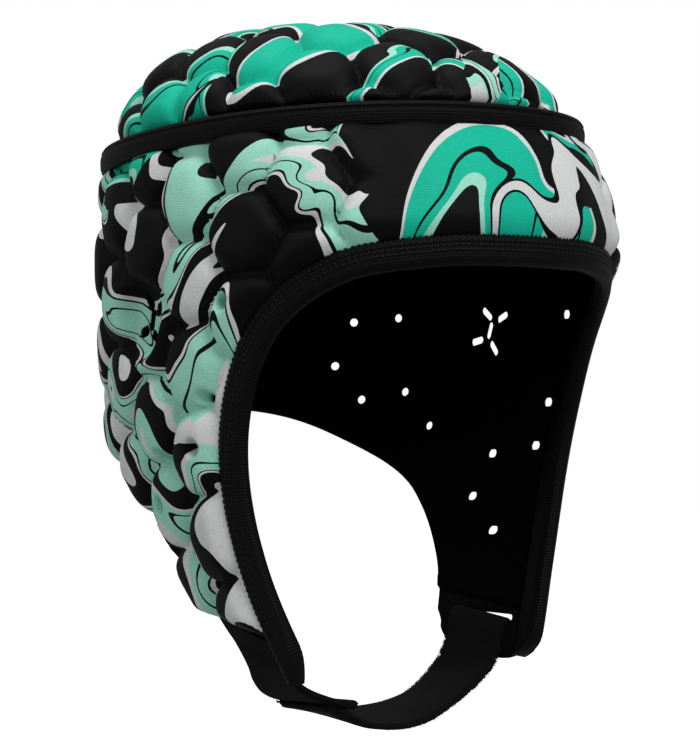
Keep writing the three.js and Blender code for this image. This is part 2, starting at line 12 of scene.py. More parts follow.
import bmesh
import bpy
import numpy as np
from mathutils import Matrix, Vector

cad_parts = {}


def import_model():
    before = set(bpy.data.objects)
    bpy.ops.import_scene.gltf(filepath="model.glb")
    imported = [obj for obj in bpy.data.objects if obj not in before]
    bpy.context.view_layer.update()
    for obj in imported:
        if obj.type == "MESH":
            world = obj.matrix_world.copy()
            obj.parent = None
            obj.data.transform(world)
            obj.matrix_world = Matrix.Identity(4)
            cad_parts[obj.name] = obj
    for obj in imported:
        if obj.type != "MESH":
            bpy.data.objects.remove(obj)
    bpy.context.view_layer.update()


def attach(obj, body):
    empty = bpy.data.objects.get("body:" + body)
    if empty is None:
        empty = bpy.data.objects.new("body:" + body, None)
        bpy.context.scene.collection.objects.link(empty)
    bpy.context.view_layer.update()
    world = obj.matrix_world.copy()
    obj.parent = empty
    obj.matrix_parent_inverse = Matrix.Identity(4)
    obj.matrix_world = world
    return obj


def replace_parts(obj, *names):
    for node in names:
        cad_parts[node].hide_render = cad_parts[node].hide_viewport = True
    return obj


LOG = logging.getLogger("head_guard")
MM = 0.001
CM_PER_MM = 0.1
TINY = 1e-12
POINTS_AT_ONCE = 6000
CURVE_POINTS = 200
SHEET_WELD = 0.01
TUBE_WELD = 0.003
FULL_ROUND = 0.5
BODY = "root"

Array = np.ndarray
Field = Callable[[Array], Array]
Rows = tuple[tuple[float, ...], ...]
Colour = tuple[float, float, float]
Socket = bpy.types.NodeSocket
Mesh = bmesh.types.BMesh


# Numbers


def smoothstep(value: Array, low: float, high: float) -> Array:
    """Ease from 0 at low to 1 at high."""
    share = np.clip((value - low) / (high - low), 0.0, 1.0)
    return share * share * (3.0 - 2.0 * share)


def rounded(depth: Array, reach: float | Array, power: float = 1.0) -> Array:
    """Rise from 0 at an edge to 1 at a reach from it, round at the top, and steeper for a lower power."""
    share = np.clip(depth / reach, 0.0, 1.0)
    return (1.0 - (1.0 - share) ** 2) ** power


def blend(low: float | Array, high: float | Array, share: Array) -> Array:
    """Value that goes from low to high by a share."""
    return low + (high - low) * share


def signed_power(base: Array, power: float) -> Array:
    """Power of the size of a number, with the number's sign."""
    return np.sign(base) * np.abs(base) ** power


def unit(vectors: Array) -> Array:
    """Vectors of length one along the last axis."""
    return vectors / np.maximum(np.linalg.norm(vectors, axis=-1, keepdims=True), TINY)


def lengths_to(points: Array) -> Array:
    """Lengths along a line of points up to each of them."""
    return np.concatenate([[0.0], np.cumsum(np.linalg.norm(np.diff(points, axis=0), axis=1))])


def level(value: float) -> Field:
    """Function of flat places that has one value everywhere."""
    return lambda flat: np.full(len(flat), value)


def left_half(flat: Array) -> Array:
    """Flat places, with those of the right half mirrored to the left one."""
    return np.stack([np.abs(flat[:, 0]), flat[:, 1]], axis=1)


def spline(rows: Sequence[Sequence[float]] | Array, count: int) -> Array:
    """Smooth curve through rows of numbers.

    Args:
        rows: Points of any dimension, in order.
        count: How many points the curve gets.

    Returns:
        An array of count points.
    """
    points = np.asarray(rows, float)
    points = np.vstack([2 * points[0] - points[1], points, 2 * points[-1] - points[-2]])
    place = np.linspace(0.0, len(points) - 3.0, count)
    start = np.minimum(place.astype(int), len(points) - 4)
    t = (place - start)[:, None]
    before, here, after, beyond = (points[start + k] for k in range(4))
    slope, next_slope = (after - before) / 2, (beyond - here) / 2
    cubic = 2 * here - 2 * after + slope + next_slope
    square = 3 * after - 3 * here - 2 * slope - next_slope
    return ((cubic * t + square) * t + slope) * t + here


def even(points: Array, step: float) -> Array:
    """Points of a line at equal distances.

    Args:
        points: The line.
        step: Distance that the points have, about.

    Returns:
        The new points.
    """
    lengths = lengths_to(points)
    places = np.linspace(0.0, lengths[-1], max(2, round(lengths[-1] / step) + 1))
    return np.stack([np.interp(places, lengths, column) for column in points.T], axis=1)


def beside(line: Array, distance: float) -> Array:
    """Line of the plane moved to its left side by a distance."""
    along = unit(np.gradient(line, axis=0))
    return line + distance * np.stack([-along[:, 1], along[:, 0]], axis=1)


def distance_to_line(points: Array, line: Array) -> Array:
    """Distance of plane points from a line of segments.

    Args:
        points: Points of the plane.
        line: Corners of the line in order.

    Returns:
        One distance for each point.
    """
    starts, steps = line[:-1], np.diff(line, axis=0)
    squares = np.maximum((steps**2).sum(axis=1), TINY)
    nearest = []
    for block in np.array_split(points, max(1, len(points) // POINTS_AT_ONCE)):
        offset = block[:, None, :] - starts
        share = np.clip((offset * steps).sum(axis=2) / squares, 0.0, 1.0)
        nearest.append(np.sqrt(((offset - share[..., None] * steps) ** 2).sum(axis=2).min(axis=1)))
    return np.concatenate(nearest)


def inside_polygon(points: Array, corners: Array) -> Array:
    """Whether plane points lie inside a closed polygon.

    Args:
        points: Points of the plane.
        corners: Corners in order, without the first one again.

    Returns:
        One truth value for each point.
    """
    inside = np.zeros(len(points), bool)
    for (x0, y0), (x1, y1) in zip(corners, np.roll(corners, -1, axis=0)):
        crosses = (y0 > points[:, 1]) != (y1 > points[:, 1])
        at = x0 + (points[:, 1] - y0) * (x1 - x0) / (y1 - y0 if y1 != y0 else TINY)
        inside ^= crosses & (points[:, 0] < at)
    return inside


# Form of the guard


@dataclass(frozen=True)
class HeadForm:
    """Inside surface of the worn guard, by turn round the head and height, in millimetres."""

    half_length: float = 96.5
    half_width: float = 78.5
    dome_height: float = 95.0
    dome_power: float = 2.8
    plan_power: float = 2.2
    apex_back: float = 23.5
    flap_drop: float = 117.0
    flap_tuck: float = 21.0
    rear_tuck: float = 0.24
    rear_tuck_end: float = 40.0
    flap_swing: float = 8.4
    flap_end: float = 145.0
    seam_z: float = -37.3
    seam_slope: float = -0.054
    seam_rounds: int = 5
    turn_step: float = 0.02
    drop_step: float = 0.5
    arc_points: int = 721
    dome_points: int = 2001

    def section(self, z: Array) -> tuple[Array, Array, Array]:
        """Form of the section at a height.

        Args:
            z: Heights.

        Returns:
            Share of the full size, place of the middle and lean, for each height.
        """
        up = np.clip((z + self.dome_height) / self.dome_height, 0.0, 1.0)
        share = np.maximum(1.0 - up**self.dome_power, 0.0) ** (1.0 / self.dome_power)
        drop = np.clip(-self.dome_height - z, 0.0, self.flap_end) / self.flap_drop
        return share, self.apex_back * up**2, drop**2

    def point(self, turn: Array, z: Array) -> Array:
        """Points of the inside surface.

        Args:
            turn: Turn round the head from the front, positive to the wearer's left.
            z: Height.

        Returns:
            Points in millimetres.
        """
        share, middle, lean = self.section(z)
        left = signed_power(np.sin(turn), 2.0 / self.plan_power)
        back = -signed_power(np.cos(turn), 2.0 / self.plan_power)
        y = middle + self.half_length * share * back
        tuck = self.flap_tuck + self.rear_tuck * np.minimum(y, self.rear_tuck_end)
        x = left * (self.half_width * share - lean * tuck)
        return np.stack([x, y + left * self.flap_swing * lean**2, z + 0.0 * x], axis=-1)

    def normal(self, turn: Array, z: Array) -> Array:
        """Outward directions of the surface.

        Args:
            turn: Turns round the head.
            z: Heights.

        Returns:
            One direction for each place.
        """
        around = self.point(turn + self.turn_step, z) - self.point(turn - self.turn_step, z)
        down = self.point(turn, z - self.drop_step) - self.point(turn, z + self.drop_step)
        return unit(np.cross(down, around))

    def lifted(self, turn: Array, z: Array, offset: Array) -> Array:
        """Points at distances outward from the inside surface."""
        return self.point(turn, z) + self.normal(turn, z) * np.reshape(offset, (-1, 1))

    def turn_of(self, y: Array, z: Array) -> Array:
        """Turn on the left side at which the surface is at a place of the side view.

        Args:
            y: Places along the head.
            z: Heights.

        Returns:
            One turn for each place.
        """
        share, middle, _ = self.section(z)
        back = np.clip((y - middle) / (self.half_length * share), -1.0, 1.0)
        return np.arccos(-signed_power(back, self.plan_power / 2.0))

    def seam(self, turn: Array, above: float) -> Array:
        """Heights at turns that lie above the plane along which the crown is sewn on.

        Args:
            turn: Turns round the head.
            above: Distance above the plane.

        Returns:
            One height for each turn.
        """
        z = np.full(np.shape(turn), self.seam_z)
        for _ in range(self.seam_rounds):
            z = self.seam_z + above + self.seam_slope * self.point(turn, z)[..., 1]
        return z

    @cached_property
    def arcs(self) -> tuple[Array, Array]:
        """Turns and the lengths round the widest section that they reach."""
        turns = np.linspace(0.0, math.pi, self.arc_points)
        return turns, lengths_to(self.point(turns, np.full_like(turns, -self.dome_height)))

    @property
    def half_round(self) -> float:
        """Length round one half of the widest section."""
        return float(self.arcs[1][-1])

    def turn_at(self, arc: Array) -> Array:
        """Turn at a length round the head."""
        return np.sign(arc) * np.interp(np.abs(arc), self.arcs[1], self.arcs[0])

    def arc_at(self, turn: Array) -> Array:
        """Length round the head at a turn."""
        return np.sign(turn) * np.interp(np.abs(turn), self.arcs[0], self.arcs[1])

    def wall(self, flat: Array, offset: Array) -> Array:
        """Points over the wall, from lengths round the head and heights, and from distances outward."""
        return self.lifted(self.turn_at(flat[:, 0]), flat[:, 1], offset)

    @property
    def mean_half(self) -> float:
        """Mean of the half length and the half width."""
        return (self.half_length + self.half_width) / 2.0

    @cached_property
    def dome(self) -> tuple[Array, Array]:
        """Heights of the dome and the lengths from its top that reach them."""
        z = -self.dome_height * np.linspace(0.0, 1.0, self.dome_points) ** 3
        return z, lengths_to(np.stack([self.mean_half * self.section(z)[0], z], axis=1))

    def dome_length(self, flat: Array) -> Array:
        """Length from the top of the dome to places of the flattened crown."""
        return np.hypot(flat[:, 0] / self.half_width, flat[:, 1] / self.half_length) * self.mean_half

    def crown_turn(self, flat: Array) -> Array:
        """Turn at which places of the flattened crown lie."""
        shares = signed_power(flat / [self.half_width, self.half_length], self.plan_power / 2.0)
        return np.arctan2(shares[:, 0], -shares[:, 1])

    def crown_reach(self, turn: Array, above: float) -> Array:
        """Length from the top of the dome to a distance above the seam."""
        return np.interp(-self.seam(turn, above), -self.dome[0], self.dome[1])

    def crown(self, flat: Array, offset: Array) -> Array:
        """Points over the dome, from places to the left and to the back of its top and distances outward."""
        z = np.interp(self.dome_length(flat), self.dome[1], self.dome[0])
        return self.lifted(self.crown_turn(flat), z, offset)


class Side(Enum):
    """Sides of the wearer, by the sign of X."""

    RIGHT = -1
    LEFT = 1


@dataclass(frozen=True)
class Outline:
    """Edges of the wall in the side view, as places along the head and heights in millimetres."""

    form: HeadForm
    face_edge: Rows = (
        (-92.0, -86.5), (-70.0, -92.5), (-49.0, -109.0), (-37.0, -133.0),
        (-32.0, -160.0), (-34.0, -192.0), (-41.6, -224.5),
    )
    neck_edge: Rows = (
        (125.0, -128.0), (97.0, -132.5), (74.0, -145.5), (45.5, -163.5),
        (23.5, -191.0), (12.5, -213.0), (7.0, -223.0),
    )
    spacing: float = 2.0
    brow_arc: float = 26.0
    brow_z: float = -86.3
    nape_arc: float = 8.0
    nape_rise: float = 0.3
    end_z: float = -228.5
    end_rear: tuple[float, float] = (-6.0, 1.6)
    end_front: tuple[float, float] = (7.0, 0.6)
    end_points: int = 14
    past_middle: float = 60.0
    above_all_z: float = 60.0
    foam_rear_y: float = 16.0
    foam_front_y: float = -42.0
    foam_end_z: dict[Side, tuple[float, float]] = field(
        default_factory=lambda: {Side.RIGHT: (-207.0, -217.0), Side.LEFT: (-199.0, -208.0)}
    )

    def flat(self, side_view: Array) -> Array:
        """Places of the side view as lengths round the left half and heights."""
        turn = self.form.turn_of(side_view[:, 0], side_view[:, 1])
        return np.stack([self.form.arc_at(turn), side_view[:, 1]], axis=1)

    @cached_property
    def face_line(self) -> Array:
        """Edge of the face opening from the middle of the brow to the end of the left flap."""
        line = self.flat(spline(self.face_edge, CURVE_POINTS))
        return even(np.vstack([[0.0, self.brow_z], line[line[:, 0] > self.brow_arc]]), self.spacing)

    @cached_property
    def neck_line(self) -> Array:
        """Edge of the neck from the middle of the nape to the end of the left flap.

        Returns:
            Points of the flat wall.
        """
        line = self.flat(spline(self.neck_edge, CURVE_POINTS))
        line = line[line[:, 0] < self.form.half_round - self.nape_arc]
        nape = [self.form.half_round, line[0, 1] + self.nape_rise]
        return even(np.vstack([nape, line]), self.spacing)

    def lower_line(self, inset: float) -> Array:
        """Edge of the wall from the nape round the flap's end to the brow.

        Args:
            inset: Distance that the face edge is moved into the wall.

        Returns:
            Points of the flat wall that run past the middle at both ends.
        """
        face = beside(self.face_line, inset)
        rear, front = self.neck_line[-1], face[-1]
        rear_bend = (rear[0] + self.end_rear[0], self.end_z + self.end_rear[1])
        front_bend = (front[0] + self.end_front[0], self.end_z + self.end_front[1])
        end = spline([rear, rear_bend, front_bend, front], self.end_points)
        start = [[self.form.half_round + self.past_middle, self.neck_line[0, 1]]]
        return np.vstack([start, self.neck_line, end[1:-1], face[::-1], [[-self.past_middle, face[0, 1]]]])

    def edge_depth(self, inset: float) -> Field:
        """Distance into the wall from its lower edge, as a function of flat places.

        Args:
            inset: Distance that the face edge is moved into the wall.

        Returns:
            The function, negative outside.
        """
        line = self.lower_line(inset)
        corners = np.vstack([line, [[line[-1, 0], self.above_all_z], [line[0, 0], self.above_all_z]]])

        def depth(flat: Array) -> Array:
            """Distance of flat places into the wall."""
            half = left_half(flat)
            return np.where(inside_polygon(half, corners), 1.0, -1.0) * distance_to_line(half, line)

        return depth

    def above_foam_end(self, flat: Array) -> Array:
        """Distance above the line where the foam of a flap ends.

        Args:
            flat: Flat places of the wall.

        Returns:
            One distance for each place, negative below the line.
        """
        turn, z = self.form.turn_at(np.abs(flat[:, 0])), flat[:, 1]
        share, middle, _ = self.form.section(z)
        y = middle - self.form.half_length * share * signed_power(np.cos(turn), 2.0 / self.form.plan_power)
        ends = {}
        for side, (rear, front) in self.foam_end_z.items():
            slope = (rear - front) / (self.foam_rear_y - self.foam_front_y)
            ends[side] = (z - rear - slope * (y - self.foam_rear_y)) / math.hypot(1.0, slope)
        return np.where(flat[:, 0] < 0.0, ends[Side.RIGHT], ends[Side.LEFT])


# Meshes


class FlatSheet:
    """A sheet that is cut out flat and then laid over the form."""

    PROBE: float = 0.02
    CUT_ROUNDS: int = 4
    GRIP: float = 0.75
    EASE_ROUNDS: int = 3
    CLOTH_OFFSET: float = 7.0

    def __init__(self, low: tuple[float, float], high: tuple[float, float], step: float) -> None:
        """Start with a rectangle of even squares.

        Args:
            low: Least coordinates in millimetres.
            high: Greatest coordinates in millimetres.
            step: Size of the squares in millimetres.
        """
        self.step = step
        self.mesh = bmesh.new()
        size = (high[0] - low[0], high[1] - low[1])
        counts = [max(1, round(length / step)) for length in size]
        bmesh.ops.create_grid(self.mesh, x_segments=counts[0], y_segments=counts[1], size=0.5)
        bmesh.ops.scale(self.mesh, vec=(size[0], size[1], 1.0), verts=self.mesh.verts)
        middle = ((low[0] + high[0]) / 2.0, (low[1] + high[1]) / 2.0, 0.0)
        bmesh.ops.translate(self.mesh, vec=middle, verts=self.mesh.verts)

    def trim(self, depth: Field, margin: float) -> None:
        """Take off the squares that lie further outside than a margin.

        Args:
            depth: Distance into the sheet, negative outside.
            margin: Distance in millimetres.
        """
        outside = depth(np.array([face.calc_center_median()[:2] for face in self.mesh.faces])) < -margin
        faces = [face for face, out in zip(self.mesh.faces, outside) if out]
        bmesh.ops.delete(self.mesh, geom=faces, context="FACES")

    def refine(self, distance: Field, reach: float) -> None:
        """Halve the squares that are near to something.

        Args:
            distance: Distance from it.
            reach: Distance in millimetres within which squares are halved.
        """
        self.mesh.verts.index_update()
        near = distance(np.array([vert.co[:2] for vert in self.mesh.verts])) < reach
        edges = [edge for edge in self.mesh.edges if all(near[vert.index] for vert in edge.verts)]
        bmesh.ops.subdivide_edges(self.mesh, edges=edges, cuts=1, use_grid_fill=True)

    def cut(self, depth: Field) -> None:
        """Cut the sheet along the line where a depth is zero.

        Args:
            depth: Distance into the sheet, negative outside.
        """
        self.trim(depth, 0.0)
        rim = [vert for vert in self.mesh.verts if vert.is_boundary]
        flat = np.array([vert.co[:2] for vert in rim])
        for _ in range(self.CUT_ROUNDS):
            here = depth(flat)
            slopes = [depth(flat + way) - depth(flat - way) for way in np.eye(2) * self.PROBE]
            move = unit(np.stack(slopes, axis=1)) * here[:, None]
            flat = flat - np.where((np.abs(here) < self.GRIP * self.step)[:, None], move, 0.0)
        for vert, place in zip(rim, flat):
            vert.co[:2] = place
        ring = {link.other_vert(vert) for vert in rim for link in vert.link_edges}
        inner = [vert for vert in ring if not vert.is_boundary]
        for _ in range(self.EASE_ROUNDS):
            bmesh.ops.smooth_vert(self.mesh, verts=inner, factor=0.5, use_axis_x=True, use_axis_y=True)

    def lay(self, place: Callable[[Array, Array], Array], outer: Field, inner: Field) -> Mesh:
        """Lay the sheet over the form as a closed body.

        Args:
            place: Points of the form from flat places and offsets.
            outer: Offset of the outer face at flat places.
            inner: Offset of the inner face at flat places.

        Returns:
            The body in millimetres, with its flat places as UV in centimetres and, as an attribute, the
            places in metres that its cloth has at one even offset.
        """
        mesh = self.mesh
        uv = mesh.loops.layers.uv.new("flat")
        fabric = mesh.verts.layers.float_vector.new("fabric")
        for face in mesh.faces:
            for loop in face.loops:
                loop[uv].uv = loop.vert.co.xy * CM_PER_MM
        top = list(mesh.verts)
        extruded = bmesh.ops.extrude_face_region(mesh, geom=list(mesh.faces), use_keep_orig=True)
        under = [item for item in extruded["geom"] if isinstance(item, bmesh.types.BMVert)]
        for verts, offset in ((top, outer), (under, inner)):
            flat = np.array([vert.co[:2] for vert in verts])
            still = place(flat, np.full(len(flat), self.CLOTH_OFFSET)) * MM
            for vert, point, cloth in zip(verts, place(flat, offset(flat)), still):
                vert.co = point
                vert[fabric] = cloth
        bmesh.ops.remove_doubles(mesh, verts=mesh.verts, dist=SHEET_WELD)
        bmesh.ops.recalc_face_normals(mesh, faces=mesh.faces)
        return mesh


def sweep(rings: Array, closed: bool) -> Mesh:
    """Tube through rings of points.

    Args:
        rings: Points in millimetres, by ring, by place round the ring and by coordinate.
        closed: Whether the last ring joins the first.

    Returns:
        A closed body, with the lengths along and round it as UV in centimetres.
    """
    rings = np.concatenate([rings, rings[:, :1]], axis=1)
    if closed:
        rings = np.concatenate([rings, rings[:1]], axis=0)
    along = lengths_to(rings.mean(axis=1)) * CM_PER_MM
    around = lengths_to(rings[len(rings) // 2]) * CM_PER_MM
    rows, columns = rings.shape[0] - 1, rings.shape[1] - 1
    mesh = bmesh.new()
    bmesh.ops.create_grid(mesh, x_segments=columns, y_segments=rows, size=1.0)
    uv = mesh.loops.layers.uv.new("flat")
    for vert in mesh.verts:
        column, row = round((vert.co.x + 1.0) / 2.0 * columns), round((vert.co.y + 1.0) / 2.0 * rows)
        for loop in vert.link_loops:
            loop[uv].uv = (along[row], around[column])
        vert.co = rings[row, column]
    bmesh.ops.remove_doubles(mesh, verts=mesh.verts, dist=TUBE_WELD)
    if not closed:
        bmesh.ops.holes_fill(mesh, edges=[edge for edge in mesh.edges if edge.is_boundary], sides=0)
    bmesh.ops.recalc_face_normals(mesh, faces=mesh.faces)
    return mesh


def repeat(shape: Mesh, frames: Array) -> Mesh:
    """One mesh with a small shape at many places.

    Args:
        shape: The shape in millimetres, which is used up.
        frames: A four by four matrix for each copy.

    Returns:
        All copies in one mesh.
    """
    shape.verts.index_update()
    corners = np.array([[*vert.co, 1.0] for vert in shape.verts])
    faces = [[vert.index for vert in face.verts] for face in shape.faces]
    shape.free()
    points = np.einsum("kij,nj->kni", frames, corners)[..., :3].reshape(-1, 3)
    starts = range(0, len(points), len(corners))
    data = bpy.data.meshes.new("copies")
    data.from_pydata(points, [], [[start + n for n in face] for start in starts for face in faces])
    mesh = bmesh.new()
    mesh.from_mesh(data)
    bpy.data.meshes.remove(data)
    return mesh


def frames_at(spots: Array, along: Array, across: Array, up: Array) -> Array:
    """Matrices that carry a shape to many spots.

    Args:
        spots: Where its origin goes.
        along: Where its first axis goes.
        across: Where its second axis goes.
        up: Where its third axis goes.

    Returns:
        A four by four matrix for each spot.
    """
    frames = np.tile(np.eye(4), (len(spots), 1, 1))
    for column, axis in enumerate((along, across, up, spots)):
        frames[:, :3, column] = axis
    return frames


def add_piece(name: str, mesh: Mesh, material: bpy.types.Material,
              sharp: float = 180.0) -> bpy.types.Object:
    """Turn a mesh in millimetres into a piece that rides on the guard.

    Args:
        name: Name of the piece.
        mesh: The mesh, which is used up.
        material: Its finish.
        sharp: Angle in degrees above which edges stay sharp.

    Returns:
        The piece.
    """
    bmesh.ops.scale(mesh, vec=(MM, MM, MM), verts=mesh.verts)
    for face in mesh.faces:
        face.smooth = True
    data = bpy.data.meshes.new(name)
    mesh.to_mesh(data)
    mesh.free()
    data.set_sharp_from_angle(angle=math.radians(sharp))
    data.materials.append(material)
    piece = bpy.data.objects.new(name, data)
    bpy.context.scene.collection.objects.link(piece)
    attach(piece, BODY)
    LOG.info("%s: %d faces", name, len(data.polygons))
    return piece


# Finishes


class Graph:
    """Short ways to add nodes to a node tree."""

    def __init__(self, tree: bpy.types.NodeTree) -> None:
        """Keep the tree that the nodes go into."""
        self.tree = tree

    def link(self, value: Socket, goal: Socket) -> None:
        """Link a result to a socket."""
        self.tree.links.new(value, goal)

    def add(self, kind: str, inputs: dict[str | int, object] | None = None,
            **settings: object) -> bpy.types.Node:
        """Add one node.

        Args:
            kind: Type of the node.
            inputs: Sockets to link or values to set, by input name or number.
            settings: Properties of the node.

        Returns:
            The node.
        """
        node = self.tree.nodes.new(kind)
        for name, value in settings.items():
            setattr(node, name, value)
        for key, value in (inputs or {}).items():
            if isinstance(value, Socket):
                self.link(value, node.inputs[key])
            else:
                node.inputs[key].default_value = value
        return node

    def group(self, tree: bpy.types.NodeTree, inputs: dict[str, object]) -> bpy.types.NodeOutputs:
        """Results of a node group."""
        return self.add("ShaderNodeGroup", inputs, node_tree=tree).outputs

    def math(self, operation: str, *values: object) -> Socket:
        """Result of a math node on sockets or numbers."""
        return self.add("ShaderNodeMath", dict(enumerate(values)), operation=operation).outputs[0]

    def vector(self, operation: str, first: object, second: object) -> Socket:
        """Result of a vector math node, which takes a number as its second value if it scales."""
        key = "Scale" if operation == "SCALE" else 1
        return self.add("ShaderNodeVectorMath", {0: first, key: second}, operation=operation).outputs[0]

    def axes(self, vector: Socket) -> bpy.types.NodeOutputs:
        """Parts of a vector by axis."""
        return self.add("ShaderNodeSeparateXYZ", {0: vector}).outputs

    def noise(self, vector: Socket, scale: float, detail: float) -> Socket:
        """Noise from 0 to 1."""
        values = {"Vector": vector, "Scale": scale, "Detail": detail}
        return self.add("ShaderNodeTexNoise", values).outputs["Fac"]

    def coordinates(self, kind: str) -> Socket:
        """Texture coordinates of one kind."""
        return self.add("ShaderNodeTexCoord").outputs[kind]

    def bands(self, value: Socket, stops: Sequence[tuple[float, Colour]]) -> Socket:
        """Bands of plain colours.

        Args:
            value: Where on the bands.
            stops: Places where the bands start and their colours.

        Returns:
            The colour.
        """
        node = self.add("ShaderNodeValToRGB", {"Fac": value})
        node.color_ramp.interpolation = "CONSTANT"
        elements = node.color_ramp.elements
        while len(elements) < len(stops):
            elements.new(1.0)
        for element, (place, colour) in zip(elements, stops):
            element.position = place
            element.color = (*colour, 1.0)
        return node.outputs["Color"]


def new_group(name: str, numbers: Sequence[str], results: Sequence[str]) -> tuple[Graph, dict, dict]:
    """Empty node group that makes numbers from a vector and numbers.

    Args:
        name: Name of the group.
        numbers: Names of the inputs beside the vector.
        results: Names of the outputs.

    Returns:
        The graph, the group's inputs by name, and the sockets to link its results to.
    """
    tree = bpy.data.node_groups.new(name, "ShaderNodeTree")
    tree.interface.new_socket("Vector", in_out="INPUT", socket_type="NodeSocketVector")
    for way, keys in (("INPUT", numbers), ("OUTPUT", results)):
        for key in keys:
            tree.interface.new_socket(key, in_out=way, socket_type="NodeSocketFloat")
    start, end = tree.nodes.new("NodeGroupInput"), tree.nodes.new("NodeGroupOutput")
    given = {key: start.outputs[key] for key in ("Vector", *numbers)}
    return Graph(tree), given, {key: end.inputs[key] for key in results}


def knit_group() -> bpy.types.NodeTree:
    """Fine stretch knit: rows of small stitches with some unevenness, and a painted shade that is darker in
    the hollows between the stitches.

    Returns:
        The node group.
    """
    graph, given, results = new_group("Fine knit", ("Scale",), ("Height", "Shade"))
    whole_turn = 2.0 * math.pi
    scaled = graph.vector("SCALE", given["Vector"], given["Scale"])
    parts = graph.axes(scaled)
    across = graph.math("ABSOLUTE", graph.math("SINE", graph.math("MULTIPLY", parts["X"], whole_turn)))
    lean = graph.math("MULTIPLY_ADD", across, 0.35, parts["Y"])
    along = graph.math("SINE", graph.math("MULTIPLY", lean, whole_turn))
    stitch = graph.math("MULTIPLY_ADD", across, 0.6, graph.math("MULTIPLY", along, 0.4))
    height = graph.math("MULTIPLY_ADD", graph.noise(scaled, 0.35, 3.0), 0.8, stitch)
    graph.link(height, results["Height"])
    # Painted shade: colour darker where the stitches are low, with random unevenness of tone from the noise
    graph.link(graph.math("MULTIPLY_ADD", height, 0.12, 0.86), results["Shade"])
    return graph.tree


def marble_group() -> bpy.types.NodeTree:
    """Marbled print: flowing bands, ribbons that swell and fade, and the grain of the ink.

    Returns:
        The node group.
    """
    numbers, names = ("Scale", "Warp", "Seed"), ("Band", "Ribbon", "Patch", "Fleck")
    graph, given, results = new_group("Marbled print", numbers, names)
    scaled = graph.vector("SCALE", given["Vector"], given["Scale"])
    place = graph.add("ShaderNodeMapping", {"Vector": scaled, "Scale": (1.0, 1.0, 0.8)}).outputs[0]

    def flow(seed: float, scale: float, output: str = "Fac") -> Socket:
        """Smooth noise at the place that the ink has flowed to."""
        values = {"Vector": place, "Scale": scale, "Detail": 0.0, "W": graph.math("ADD", given["Seed"], seed)}
        return graph.add("ShaderNodeTexNoise", values, noise_dimensions="4D").outputs[output]

    for seed, scale, share in ((3.0, 0.55, 1.0), (7.0, 1.3, 0.5), (11.0, 2.8, 0.14)):
        centred = graph.vector("SUBTRACT", flow(seed, scale, "Color"), (0.5, 0.5, 0.5))
        push = graph.vector("SCALE", centred, graph.math("MULTIPLY", given["Warp"], share))
        place = graph.vector("ADD", place, push)
    spread = {"Value": flow(1.0, 0.9), "From Min": 0.27, "From Max": 0.73}
    graph.link(graph.add("ShaderNodeMapRange", spread).outputs["Result"], results["Band"])
    swell = graph.math("MULTIPLY", graph.math("SUBTRACT", flow(9.0, 1.0), 0.53), 0.18)
    away = graph.math("ABSOLUTE", graph.math("SUBTRACT", flow(5.0, 0.8), 0.5))
    graph.link(graph.math("SUBTRACT", away, swell), results["Ribbon"])
    graph.link(flow(30.0, 0.5), results["Patch"])
    graph.link(graph.noise(scaled, 60.0, 2.0), results["Fleck"])
    return graph.tree


def rib_group() -> bpy.types.NodeTree:
    """Fine cross ribs of a woven tape, by the length along it.

    Returns:
        The node group.
    """
    graph, given, results = new_group("Tape ribs", ("Along", "Across"), ("Height",))
    parts = graph.axes(given["Vector"])
    along = graph.math("SINE", graph.math("MULTIPLY", parts["X"], given["Along"]))
    across = graph.math("SINE", graph.math("MULTIPLY", parts["Y"], given["Across"]))
    threads = graph.math("MULTIPLY_ADD", across, 0.3, graph.noise(given["Vector"], 9.0, 3.0))
    graph.link(graph.math("MULTIPLY_ADD", along, 0.5, threads), results["Height"])
    return graph.tree


@dataclass(frozen=True)
class Finish:
    """Base of the finishes: dull cloth with one principled shader."""

    name: str = "cloth"
    roughness: float = 0.85
    shine: float = 0.07
    sheen: float = 0.0
    bump: float = 0.25
    bump_depth: float = 0.0003

    def material(self) -> bpy.types.Material:
        """New material with the finish's own pattern.

        Returns:
            The material.
        """
        material = bpy.data.materials.new(self.name)
        material.use_nodes = True
        graph, sockets = Graph(material.node_tree), material.node_tree.nodes["Principled BSDF"].inputs
        ink, shade, height = self.pattern(graph)
        # Base colour is the ink times painted shade and highlight from the knit and ribs, and random tone
        graph.link(graph.vector("SCALE", ink, shade), sockets["Base Color"])
        bump = {"Height": height, "Strength": self.bump, "Distance": self.bump_depth}
        graph.link(graph.add("ShaderNodeBump", bump).outputs["Normal"], sockets["Normal"])
        sockets["Roughness"].default_value = self.roughness
        sockets["Specular IOR Level"].default_value = self.shine
        sockets["Sheen Weight"].default_value = self.sheen
        return material

    def pattern(self, graph: Graph) -> tuple[Socket | Colour, Socket, Socket]:
        """Colour of the cloth, the painted shade, painted highlight and random tone that it is multiplied by,
        and its height.
        """
        raise NotImplementedError


